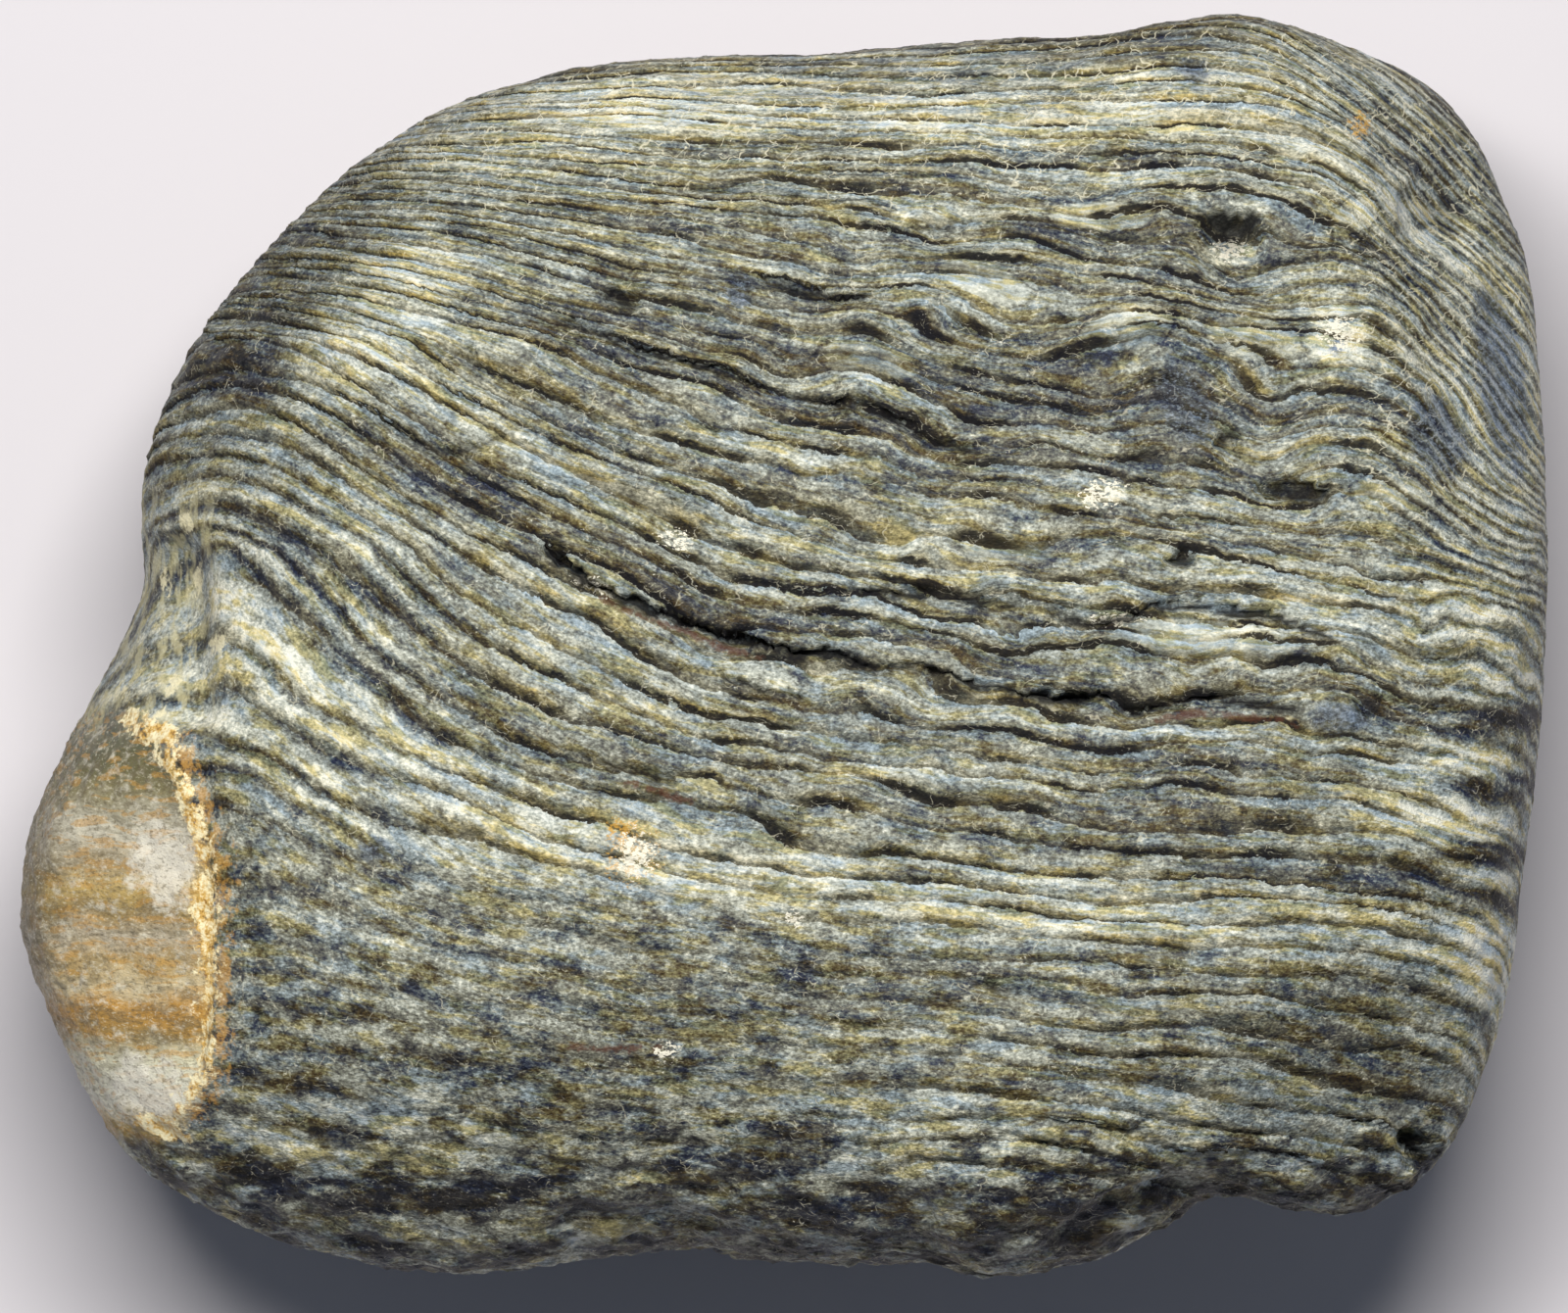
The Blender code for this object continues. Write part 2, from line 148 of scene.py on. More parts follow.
def scatter(cells, seed):
    """One repeatable random number from -1 to 1 for each whole-numbered cell."""
    mixed = (cells * np.array((73856093, 19349663, 83492791))).sum(axis=1) + seed * 2654435761
    mixed = (mixed ^ (mixed >> 13)) * 1274126177 & 0xFFFFFFFF
    mixed = (mixed ^ (mixed >> 16)) * 668265263 & 0xFFFFFFFF
    return (mixed ^ (mixed >> 15)) / 2147483648.0 - 1.0


def noise(points, pitch, seed):
    """Smooth noise from -1 to 1, with a new random value every pitch along each axis."""
    places = points / np.array(pitch, float)
    cells = np.floor(places).astype(np.int64)
    share = places - cells
    share = share * share * (3.0 - 2.0 * share)
    total = np.zeros(len(points))
    for corner in itertools.product((0, 1), repeat=3):
        weight = np.where(corner, share, 1.0 - share).prod(axis=1)
        total += weight * scatter(cells + np.array(corner), seed)
    return total


def curve_through(points, closed, steps):
    """A smooth curve through points, with steps points to each span."""
    knots = np.array(points, float)
    if closed:
        before, after = np.roll(knots, 1, axis=0), np.roll(knots, -1, axis=0)
    else:
        before, after = np.vstack((knots[:1], knots[:-1])), np.vstack((knots[1:], knots[-1:]))
    leaving = (after - before) / 2.0
    arriving = np.roll(leaving, -1, axis=0)
    spans = len(knots) if closed else len(knots) - 1
    t = np.arange(steps)[None, :, None] / steps
    curve = (
        (2 * t**3 - 3 * t**2 + 1) * knots[:spans, None]
        + (t**3 - 2 * t**2 + t) * leaving[:spans, None]
        + (3 * t**2 - 2 * t**3) * after[:spans, None]
        + (t**3 - t**2) * arriving[:spans, None]
    ).reshape(-1, 2)
    return curve if closed else np.vstack((curve, knots[-1:]))


print("the first random number is", scatter(np.zeros((1, 3), np.int64), seed=1)[0].round(3))

# %% [markdown]
# ## The rounded body
# Seen from above, a pebble has a wandering outline. Cut through, it is something between an ellipse
# and a rounded box. So each point of a unit sphere is pushed out until it lies on a squared-off
# ellipse whose width comes from the outline. Near the middle of the face only the outline's broad
# shape counts, or every dent of the edge would run to the centre like a spoke.

# %% The outline and the body
FACE = 18.0
BELLY = 15.9
FACE_SQUARENESS = 3.7
SQUARER_TO_THE_RIGHT = 0.75
SQUARER_TO_THE_TOP = 0.4
BELLY_SQUARENESS = 2.6
OUTLINE = (
    (-27.5, 3.0), (-28.1, 1.1), (-29.9, -2.4), (-32.2, -7.1), (-32.8, -10.8), (-32.5, -13.4),
    (-30.8, -17.5), (-28.4, -21.6), (-24.5, -24.3), (-18.9, -26.3), (-13.3, -26.9), (-8.3, -26.3),
    (-4.2, -25.9), (-1.4, -26.3), (2.2, -26.6), (6.1, -26.5), (9.1, -27.1), (13.4, -26.3),
    (16.3, -24.8), (18.0, -23.5), (19.5, -23.3), (22.8, -24.0), (25.8, -23.6), (28.6, -21.4),
    (30.2, -17.7), (31.2, -13.8), (32.2, -6.3), (32.8, 0.8), (32.8, 6.3), (32.2, 15.0),
    (30.7, 19.7), (28.1, 23.8), (23.8, 26.1), (20.4, 27.1), (17.3, 27.0), (13.0, 26.2),
    (8.7, 26.1), (2.2, 25.6), (-3.3, 25.4), (-8.7, 24.7), (-15.0, 22.8), (-19.7, 19.7),
    (-23.4, 15.8), (-25.8, 12.4), (-27.3, 8.9), (-27.7, 6.3),
)
OUTLINE_HARMONICS = 4
ANGLE_STEPS = 1440


def outline_radii():
    """The outline's radius at every step of angle: as it is, and with only its broad shape."""
    curve = curve_through(OUTLINE, closed=True, steps=16)
    angle = np.arctan2(curve[:, 1], curve[:, 0])
    order = np.argsort(angle)
    steps = np.linspace(-math.pi, math.pi, ANGLE_STEPS, endpoint=False)
    radius = np.interp(steps, angle[order], np.hypot(*curve.T)[order], period=2 * math.pi)
    waves = np.fft.rfft(radius)
    waves[OUTLINE_HARMONICS + 1:] = 0.0
    return steps, radius, np.fft.irfft(waves, ANGLE_STEPS)


def body(sphere):
    """A unit sphere's points, moved onto the rounded body."""
    steps, radius, broad = outline_radii()
    angle = np.arctan2(sphere[:, 1], sphere[:, 0])
    outline = np.interp(angle, steps, radius, period=2 * math.pi)
    broad_outline = np.interp(angle, steps, broad, period=2 * math.pi)
    across = np.hypot(sphere[:, 0], sphere[:, 1])
    up = sphere[:, 2]
    face_squareness = (
        FACE_SQUARENESS + SQUARER_TO_THE_RIGHT * np.cos(angle) + SQUARER_TO_THE_TOP * np.sin(angle)
    )
    squareness = np.where(up > 0, face_squareness, BELLY_SQUARENESS)
    stretch = (across**squareness + np.abs(up) ** squareness) ** (-1.0 / squareness)
    out = across * stretch
    reach = out * (broad_outline + (outline - broad_outline) * smoothstep(0.55, 1.0, out))
    height = up * stretch * np.where(up > 0, FACE, BELLY)
    return np.column_stack((reach * np.cos(angle), reach * np.sin(angle), RIM_HEIGHT + height))


print("outline", np.ptp(np.array(OUTLINE), axis=0), "mm")

# %% [markdown]
# ## The flats
# A few planes were worn or broken on the pebble. The one at its left end cuts across the beds and
# shows clear banded chalcedony. Each plane draws back whatever stands out past it. The softness
# says how rounded the edge between the plane and the rest has become.

# %% Wear the body flat in places
FACETS = (
    ((-24.9, -12.0, 28.0), (-0.64, -0.12, 0.76), 0.25),
    ((27.4, 17.0, 27.4), (0.78, 0.26, 0.57), 0.5),
    ((26.0, -21.0, 24.0), (0.45, -0.55, 0.70), 0.9),
    ((-14.0, -23.5, 26.0), (-0.20, -0.75, 0.63), 0.9),
    ((-22.5, 12.5, 26.2), (-0.74, 0.38, 0.56), 1.2),
    ((14.0, -10.0, 2.6), (0.45, -0.30, -0.84), 1.5),
    ((-16.0, 9.0, 2.4), (-0.50, 0.35, -0.79), 1.5),
)


def worn_flat(points):
    for place, facing, softness in FACETS:
        normal = np.array(facing) / np.linalg.norm(facing)
        past = (points - np.array(place)) @ normal
        points = points - softened(past, softness)[:, None] * normal
    return points


print(len(FACETS), "flats")

# %% [markdown]
# ## The beds
# The beds sag from left to right like a hung cloth: steep on the left shoulder, level on the right.
# One number says how high in the pile of beds a point lies. Where that number is constant is one
# bed, so ledges, seams and colours that follow it all bend together. Folds raise or lower it
# around a few hard lumps, and past the upper right shoulder the beds turn down around the edge.
# Where the beds are at unrest, they wander more.

# %% How high in the pile of beds each point lies
SAG_AT = (
    (-27.1, 2.4), (-18.6, 4.4), (-10.2, 7.6), (-2.5, 12.0), (4.2, 16.6), (13.1, 17.9),
    (17.8, 13.4), (20.8, 8.4), (23.7, 3.2), (26.0, 0.0),
)
SAG_START = -23.6
SAG_LENGTH = 17.3
SAG_SOFTNESS = 2.0
BED_DIP = 0.25
THICKNESS = 33.0
SHOULDER_START = 27.2
SHOULDER_BASE = 12.0
SHOULDER_LEAN = 0.45
SHOULDER_DROP = 1.25
FOLDS = (
    ((19.3, 16.3), (2.4, 1.7), -0.93),
    ((19.3, 19.4), (2.4, 1.3), 0.42),
    ((16.4, 13.1), (2.5, 2.5), 1.06),
    ((20.8, 11.0), (2.6, 1.8), -1.06),
    ((22.1, 5.9), (2.6, 1.2), -0.68),
    ((14.9, -2.7), (0.9, 0.8), -0.6),
    ((29.3, -8.0), (2.2, 2.0), -0.6),
    ((3.6, 11.4), (2.4, 1.8), 0.7),
    ((5.2, 14.6), (2.0, 1.6), 0.6),
)


def unrest_share(points):
    """1 where the beds swell, pinch and gape, on the upper right of the face."""
    x, y, z = points.T
    return smoothstep(-12.0, 6.0, x) * smoothstep(-12.0, 0.0, y) * smoothstep(24.0, 19.0, y)


def bed_level(points):
    x, y, z = points.T
    heights, sags = np.array(SAG_AT).T
    sag = np.interp(y, heights, sags) * np.exp(-softened(x - SAG_START, SAG_SOFTNESS) / SAG_LENGTH)
    level = y - sag - BED_DIP * (z - THICKNESS)
    past_shoulder = x - SHOULDER_START + SHOULDER_LEAN * softened(y - SHOULDER_BASE, 1.0)
    level += SHOULDER_DROP * softened(past_shoulder, 0.7) * smoothstep(1.0, 10.0, y)
    for (middle_x, middle_y), (along, across), rise in FOLDS:
        level -= rise * np.exp(-(((x - middle_x) / along) ** 2) - ((y - middle_y) / across) ** 2)
    unrest = unrest_share(points)
    level += (0.12 + 0.42 * unrest) * noise(points, (3.4, 2.2, 4.0), seed=3)
    return level + (0.04 + 0.22 * unrest) * noise(points, (1.6, 1.1, 2.0), seed=4)


print(len(FOLDS), "folds; the beds sag by up to", max(sag for height, sag in SAG_AT), "mm")

# %% [markdown]
# ## Clefts, creases, pits and swellings
# Some seams have opened into clefts, with a steep upper lip and a lower lip that slopes out to the
# light. Inside them and in the pits the shade is painted on later, near black. They are listed by
# name with their real sizes, because these are the marks that someone would know this stone by. A
# cleft is a route, a half width, a depth and how many times wider its lower lip is. A crease is a
# route, a half width and a depth, and a ridge is a crease of negative depth. A pit or a swelling is
# an oval: its middle, half length, half width, turn in degrees, and depth or height.

# %% The list of openings, in millimetres
SLITS = {
    "long slit": (
        ((-10.0, 4.0), (-9.0, 3.3), (-7.6, 2.5), (-6.2, 1.9), (-4.0, 1.1), (-2.3, 0.4), (-0.5, 0.1),
         (2.2, -0.3), (4.3, -1.0)), 0.23, 1.6, 1.4),
    "long slit, right half": (
        ((4.3, -1.0), (5.8, -0.8), (8.1, -1.5), (9.7, -1.8), (11.1, -2.2), (12.7, -2.1), (13.8, -2.0),
         (14.9, -2.7), (15.9, -2.6), (17.8, -2.1), (21.1, -2.5), (22.5, -2.6)), 0.19, 1.0, 1.7),
    "arched slit": (
        ((11.2, 1.7), (12.3, 1.1), (14.1, 1.0), (15.9, 1.8), (17.8, 1.7), (19.8, 1.5), (21.1, 1.3),
         (22.4, 0.8), (23.9, 0.2)), 0.22, 1.0, 1.6),
    "short slit": (((2.9, 2.5), (4.8, 2.4), (6.8, 2.2), (10.2, 1.7)), 0.20, 0.9, 1.6),
    "wavy seam": (((-1.2, 15.8), (0.1, 15.5), (1.8, 15.0), (4.0, 15.0)), 0.24, 0.7, 1.2),
    "dipping seam": (((-10.1, 14.3), (-7.6, 13.3), (-4.2, 12.2), (-2.3, 11.6), (-0.4, 10.9)), 0.18, 0.6, 1.4),
    "stepped seam": (
        ((0.1, 10.7), (2.2, 10.5), (4.4, 9.9), (5.7, 9.1), (6.5, 8.6), (8.7, 8.3)), 0.20, 0.7, 1.4),
    "high seam": (((3.3, 18.0), (6.5, 17.9), (9.0, 17.7)), 0.14, 0.45, 1.4),
    "low seam": (((-10.2, -3.7), (-8.2, -4.7), (-5.9, -5.5), (-3.5, -6.1)), 0.18, 0.5, 1.6),
    "seam under the slit": (
        ((-6.5, 0.0), (-4.6, -0.8), (-2.9, -1.2), (-1.1, -1.7), (1.3, -2.5)), 0.15, 0.45, 1.6),
    "right low seam": (((16.1, -8.6), (20.1, -9.7), (25.5, -9.9)), 0.15, 0.4, 1.6),
    "fine low seam": (((2.9, -13.2), (8.7, -14.5), (13.0, -15.1), (20.6, -15.9)), 0.14, 0.4, 1.6),
    "left scarp": (
        ((-17.1, 9.7), (-15.6, 8.8), (-13.9, 8.4), (-12.6, 8.8), (-10.9, 9.6)), 0.16, 0.45, 2.4),
}
CREASES = {
    "left groove": (((-26.6, 5.2), (-25.9, 1.5), (-25.6, -1.5), (-25.4, -4.0)), 1.3, 0.9),
    "crust ridge": (
        ((-27.0, -3.4), (-25.8, -5.2), (-24.7, -8.0), (-24.3, -10.4), (-24.3, -14.4), (-24.6, -18.0),
         (-26.4, -20.9)), 0.45, -0.35),
    "facet edge": (
        ((-25.4, -4.0), (-24.9, -6.5), (-24.5, -10.2), (-24.4, -14.4), (-25.2, -18.6)), 0.45, 0.35),
    "right foot": (((11.5, -26.2), (13.8, -24.6), (16.4, -23.5), (18.1, -23.6)), 0.8, 0.9),
    "left foot": (((-10.1, -25.9), (-8.4, -25.2), (-5.0, -25.0), (-2.3, -25.7)), 0.7, 0.6),
}
PITS = {
    "hole": ((19.2, 18.2), 1.25, 0.74, -8, 2.1),
    "bowl under the hole": ((19.2, 17.1), 1.5, 1.1, 0, 0.6),
    "slot": ((-6.9, 14.9), 0.95, 0.42, -22, 1.0),
    "head of the long slit": ((-9.7, 3.9), 0.75, 0.36, -40, 1.2),
    "gape of the long slit": ((11.9, -2.2), 1.9, 0.34, -3, 0.9),
    "eye": ((22.0, 6.6), 1.7, 0.50, -3, 1.3),
    "small slot": ((16.9, 3.6), 0.9, 0.36, -3, 1.2),
    "upper nick": ((15.5, 8.2), 0.9, 0.30, 8, 0.9),
    "upper right nick": ((19.0, 8.9), 0.6, 0.30, 20, 0.9),
    "dark hollow": ((20.9, 11.0), 1.3, 0.4, -5, 0.35),
    "corner pit": ((27.0, -21.3), 0.65, 0.85, 20, 1.6),
    "corner dish": ((28.0, -22.0), 1.0, 0.6, 35, 0.5),
    "side dish": ((28.0, 18.7), 1.9, 1.9, 0, 0.6),
}
SWELLINGS = {
    "wave crest": ((15.2, 13.9), 2.2, 0.9, 6, 0.28),
    "pale lens": ((20.2, 13.1), 2.1, 0.9, -12, 0.25),
    "lens between the slits": ((18.9, 0.0), 4.6, 0.9, -3, 0.30),
    "bead on the slit": ((14.6, -2.0), 1.0, 0.6, -20, 0.35),
    "upper left shoulder": ((-17.5, 14.5), 5.5, 4.0, 35, 0.7),
    "right shoulder": ((24.0, 20.0), 4.0, 4.0, 0, 0.6),
}
LIP_PITCH = (0.7, 0.45)
LIP_SWAY = (0.20, 0.15)
print(len(SLITS), "clefts,", len(PITS), "pits,", len(SWELLINGS), "swellings")

# %% How deep they are at each point
def to_line(points, route):
    """Distance from a smooth line seen from above, + on its upper side, and share of the way along."""
    line = curve_through(route, closed=False, steps=4)
    spans = np.diff(line, axis=0)
    lengths = np.hypot(*spans.T)
    starts = np.concatenate(([0.0], np.cumsum(lengths)[:-1]))
    nearest = np.full(len(points), np.inf)
    share = np.zeros(len(points))
    side = np.ones(len(points))
    for start, span, length, walked in zip(line, spans, lengths, starts):
        offset = points - start
        along = np.clip(offset @ span / length**2, 0.0, 1.0)
        distance = np.hypot(*(offset - along[:, None] * span).T)
        nearer = distance < nearest
        nearest[nearer] = distance[nearer]
        share[nearer] = ((walked + along * length) / lengths.sum())[nearer]
        side[nearer] = np.sign(span[0] * offset[nearer, 1] - span[1] * offset[nearer, 0])
    return nearest * side, share


def opened(points, route, half_width, depth, slope):
    """A cleft along a route: steep above, sloping out below, and thin at both ends."""
    distance, share = to_line(points, route)
    width = half_width * np.where(distance > 0, 1.0, slope)
    section = np.clip(1.0 - (distance / width) ** 2, 0.0, 1.0) ** 1.5
    return depth * section * np.clip(np.sin(math.pi * share), 0.0, 1.0) ** 0.35


def in_oval(points, centre, half_length, half_width, turn):
    """1 in the middle of a turned oval seen from above, falling smoothly to 0 at its edge."""
    offset = points - np.array(centre)
    cosine, sine = math.cos(math.radians(turn)), math.sin(math.radians(turn))
    along = (offset[:, 0] * cosine + offset[:, 1] * sine) / half_length
    across = (offset[:, 1] * cosine - offset[:, 0] * sine) / half_width
    return np.clip(1.0 - along**2 - across**2, 0.0, 1.0)


def in_any(plan, ovals):
    """The largest share that any of the ovals has of each point."""
    return np.max([in_oval(plan, *oval) for oval in ovals], axis=0)


def cleft_depths(plan):
    """Depth of the clefts, and of the pits, with ragged lips."""
    flat = np.column_stack((plan, np.zeros(len(plan))))
    ragged = np.column_stack((noise(flat, LIP_PITCH[0], seed=51), noise(flat, LIP_PITCH[1], seed=52)))
    plan = plan + ragged * LIP_SWAY
    clefts = np.zeros(len(plan))
    for route, half_width, deepest, slope in SLITS.values():
        clefts = np.maximum(clefts, opened(plan, route, half_width, deepest, slope))
    pits = np.zeros(len(plan))
    for centre, half_length, half_width, turn, deepest in PITS.values():
        pits += deepest * in_oval(plan, centre, half_length, half_width, turn) ** 0.75
    return clefts, pits


def swelling(plan):
    """Height of the swellings and ridges, less the depth of the creases."""
    height = np.zeros(len(plan))
    for route, half_width, depth in CREASES.values():
        distance, share = to_line(plan, route)
        height -= depth * np.exp(-((distance / half_width) ** 2)) * smoothstep(0.0, 0.12, share * (1 - share))
    for centre, half_length, half_width, turn, rise in SWELLINGS.values():
        height += rise * in_oval(plan, centre, half_length, half_width, turn) ** 2
    return height


clefts, pits = cleft_depths(np.array([PITS["hole"][0]]))
print("the middle of the hole is", round(float(clefts[0] + pits[0]), 2), "mm deep")

# %% [markdown]
# ## From a sphere to the pebble
# An icosphere has triangles of nearly one size all over. Its points are first drawn towards the
# face, where the detail is, and then moved onto the body. Large swells and small lumps keep the
# form from looking machined.

# %% Shape the fine mesh
SPHERE_CUTS = 8
FACE_ZOOM = 1.5
SWELL_PITCH = 11.0
SWELL_HEIGHT = 0.45
LUMP_PITCH = 2.1
LUMP_HEIGHT = 0.10
TABLE_FADE = 5.0


def read_vectors(items, name):
    values = np.empty(len(items) * 3, np.float32)
    items.foreach_get(name, values)
    return values.reshape(-1, 3).astype(float)


def write_points(mesh, points):
    mesh.vertices.foreach_set("co", points.astype(np.float32).ravel())
    mesh.update()


def clear_of_table(points):
    """0 where the stone lies on the table, and 1 from TABLE_FADE above it."""
    return smoothstep(0.0, TABLE_FADE, points[:, 2])


def face_first_sphere(mesh):
    """A fine sphere's points, drawn towards the face by a map that keeps circles round."""
    shape = bmesh.new()
    bmesh.ops.create_icosphere(shape, subdivisions=SPHERE_CUTS, radius=1.0)
    shape.to_mesh(mesh)
    shape.free()
    points = read_vectors(mesh.vertices, "co")
    points /= np.linalg.norm(points, axis=1)[:, None]
    from_back = (1.0 + points[:, 2]) * FACE_ZOOM**2
    from_face = 1.0 - points[:, 2]
    across = 2.0 * FACE_ZOOM * points[:, :2]
    whole = from_back + from_face
    return np.column_stack((across / whole[:, None], (from_back - from_face) / whole))


stone_mesh = bpy.data.meshes.new("stone")
points = worn_flat(body(face_first_sphere(stone_mesh)))
write_points(stone_mesh, points)
normals = read_vectors(stone_mesh.vertex_normals, "vector")
off_the_rim = smoothstep(0.5, 5.0, np.abs(points[:, 2] - RIM_HEIGHT))
relief = SWELL_HEIGHT * noise(points, SWELL_PITCH, seed=21) * off_the_rim
relief += LUMP_HEIGHT * noise(points, LUMP_PITCH, seed=22)
opened_by = sum(cleft_depths(points[:, :2]))
relief += (swelling(points[:, :2]) - opened_by) * smoothstep(0.05, 0.45, normals[:, 2])
points = points + normals * (relief * clear_of_table(points))[:, None]
write_points(stone_mesh, points * MM)
print(len(stone_mesh.vertices), "points, relief", np.round((relief.min(), relief.max()), 2), "mm")

# %% [markdown]
# ## Where the beds show, and where the grit does
# On the flat at the left end nothing stands out. Low on the stone the beds fade into a granular
# patch, and its foot is coarse and lumpy. On the right flank and low on the left the beds are ground
# flush, and at the right edge they are polished away. These shares are written on the mesh as
# attributes, so that the nodes which raise the beds and those which paint them read the same numbers.

# %% Shares of each kind of surface
FACET_EDGE = (
    (-21.4, -27.0), (-20.7, -25.6), (-18.0, -24.7), (-14.0, -24.5), (-10.0, -24.5), (-8.0, -25.0),
    (-5.5, -26.0), (-3.4, -27.0), (-2.0, -29.5),
)


def facet_share(points):
    """1 on the clear flat at the left end and 0 off it."""
    x, y, z = points.T
    heights, edges = np.array(FACET_EDGE).T
    edge = np.interp(y, heights, edges) + 0.25 * noise(points, 1.1, seed=31)
    inside = smoothstep(0.12, -0.12, x - edge)
    return inside * smoothstep(-21.6, -20.8, y) * smoothstep(-2.0, -3.4, y) * smoothstep(9.0, 12.0, z)


def granular_share(points):
    """1 where the beds fade into grit, low on the left and along the foot."""
    x, y, z = points.T
    edge = -7.5 - 0.12 * (x + 20.0) + 0.8 * noise(points, 5.0, seed=32)
    along = smoothstep(14.0, 0.0, x)
    return smoothstep(1.5, -2.0, y - edge) * (0.25 + 0.75 * along)


def foot_share(points):
    """1 on the dark lumpy foot of the face."""
    x, y, z = points.T
    edge = -20.2 - 0.02 * x + 0.9 * noise(points, 4.0, seed=33) - 1.6 * smoothstep(-12.0, -24.0, x)
    return smoothstep(1.2, -0.8, y - edge)


def curtain_share(points):
    """1 in the smooth groove above the flat, where the beds hang as pale threads."""
    x, y, z = points.T
    return smoothstep(-23.6, -25.2, x) * smoothstep(-4.5, -2.5, y) * smoothstep(8.5, 5.0, y)


def flush_share(points):
    """1 where the beds are ground flush: on the right flank, and low on the left."""
    x, y, z = points.T
    flank = smoothstep(24.0, 29.0, x + 0.08 * y + 0.6 * noise(points, 3.0, seed=34))
    low_left = smoothstep(-11.0, -19.0, x + 0.8 * noise(points, 4.0, seed=35)) * smoothstep(10.0, 5.0, y)
    return np.maximum(flank, low_left)


def flaked_share(points):
    """1 where pale flakes lie thick: along the top, and on the upper right shoulder."""
    x, y, z = points.T
    edge = y + 1.2 * noise(points, 3.0, seed=36)
    return np.maximum(smoothstep(17.5, 22.0, edge), smoothstep(21.0, 26.0, x) * smoothstep(3.0, 9.0, edge))


def polished_share(points):
    """1 on the right flank, where the beds hardly show: striped below, and smooth above."""
    ovals = (((31.0, -6.8), 3.6, 6.5, 0), ((30.4, 12.5), 4.0, 11.5, 12), ((28.2, 19.3), 1.6, 2.2, 20))
    return np.minimum(1.0, 1.5 * in_any(points[:, :2], ovals))


def bedding_share(points):
    """How much of their full height the beds have."""
    fade = (1.0 - 0.7 * granular_share(points)) * (1.0 - 0.65 * flush_share(points))
    fade *= 1.0 - 0.6 * polished_share(points)
    return fade * (1.0 - 0.95 * facet_share(points)) * (1.0 - 0.8 * curtain_share(points))


def write_attribute(mesh, name, values):
    kind, field = ("FLOAT_VECTOR", "vector") if values.ndim == 2 else ("FLOAT", "value")
    attribute = mesh.attributes.new(name, kind, "POINT")
    attribute.data.foreach_set(field, values.astype(np.float32).ravel())


def pile_of(points):
    """Where each point lies in the pile of beds: along, up through the beds, and deep."""
    return np.column_stack((points[:, 0], bed_level(points), points[:, 2]))


write_attribute(stone_mesh, "pile", pile_of(points))
clear_of_rim = 0.3 + 0.7 * smoothstep(0.0, 0.45, normals[:, 2])
write_attribute(stone_mesh, "bedding", bedding_share(points) * clear_of_rim * clear_of_table(points))
write_attribute(stone_mesh, "foot", foot_share(points))
write_attribute(stone_mesh, "unrest", unrest_share(points))
write_attribute(stone_mesh, "facet", facet_share(points))
print("flat:", int(facet_share(points).sum()), "points, grit:", int(granular_share(points).sum()), "points")

# %% [markdown]
# ## Writing nodes as sums
# A node tree is easier to read as arithmetic than as a list of links. `Field` wraps one output of a
# node. Adding, subtracting, multiplying or dividing two fields adds the Math node that does it.
# `Graph.add` makes every other kind of node. The same class serves geometry and shader trees.

# %% One small class for sockets, and one for trees
def sign(operation, swapped=False):
    """The method that adds the Math node for one arithmetic sign."""

    def method(field, other):
        first, second = (other, field) if swapped else (field, other)
        vectors = any(isinstance(v, Field) and v.socket.type == "VECTOR" for v in (first, second))
        kind = "ShaderNodeVectorMath" if vectors else "ShaderNodeMath"
        return field.graph.add(kind, {"operation": operation}, {0: first, 1: second})

    return method


class Field:
    """An output of a node, to be used in sums."""

    __add__, __radd__ = sign("ADD"), sign("ADD", swapped=True)
    __sub__, __rsub__ = sign("SUBTRACT"), sign("SUBTRACT", swapped=True)
    __mul__, __rmul__ = sign("MULTIPLY"), sign("MULTIPLY", swapped=True)
    __truediv__, __rtruediv__ = sign("DIVIDE"), sign("DIVIDE", swapped=True)

    def __init__(self, graph, socket):
        self.graph = graph
        self.socket = socket


class Graph:
    """A node tree that nodes are added to."""

    def __init__(self, tree):
        self.tree = tree

    def add(self, kind, settings=None, inputs=None, output=0):
        node = self.tree.nodes.new(kind)
        for name, value in (settings or {}).items():
            setattr(node, name, value)
        for name, value in (inputs or {}).items():
            if isinstance(value, Field):
                self.tree.links.new(value.socket, node.inputs[name])
            else:
                node.inputs[name].default_value = value
        return Field(self, node.outputs[output]) if node.outputs else None

    def step(self, start, end, value):
        """0 up to start and 1 from end, smooth between."""
        return self.add(
            "ShaderNodeMapRange", {"interpolation_type": "SMOOTHSTEP"}, {0: value, 1: start, 2: end}
        )

    def noise(self, vector, size=None, detail=1.0, roughness=0.5, seed=0.0):
        """Noise from 0 to 1, swelling over size. The seed moves it along one endless pattern."""
        if size:
            vector = vector / self.vector(*size)
        moved = vector + self.vector(seed * 17.3, seed * 9.1, seed * 5.7)
        return self.add(
            "ShaderNodeTexNoise", None,
            {"Vector": moved, "Scale": 1.0, "Detail": detail, "Roughness": roughness},
        )

    def axis(self, vector, number):
        """One part of a vector: 0 for X, 1 for Y and 2 for Z."""
        return self.add("ShaderNodeSeparateXYZ", None, {0: vector}, output=number)

    def vector(self, x, y, z):
        """A vector of numbers stays a tuple, and one with fields in it takes a node."""
        if not any(isinstance(part, Field) for part in (x, y, z)):
            return (x, y, z)
        return self.add("ShaderNodeCombineXYZ", None, {0: x, 1: y, 2: z})


print("Graph has", ", ".join(name for name in vars(Graph) if not name.startswith("_")))

# %% [markdown]
# ## The bedding pattern
# The beds are counted: the level in the pile, divided by the thickness of a bed, and swung up and
# down by noise so that they thicken, thin and wander. The whole part of the count numbers the bed,
# and the rest says how far up the bed a point lies. Each bed is a shingle, with a steep lower lip
# and a long back that leans to the next seam. Its number draws how hard it is. Thin laminae are
# noise, stretched along the beds. Geometry and colour both call this function.

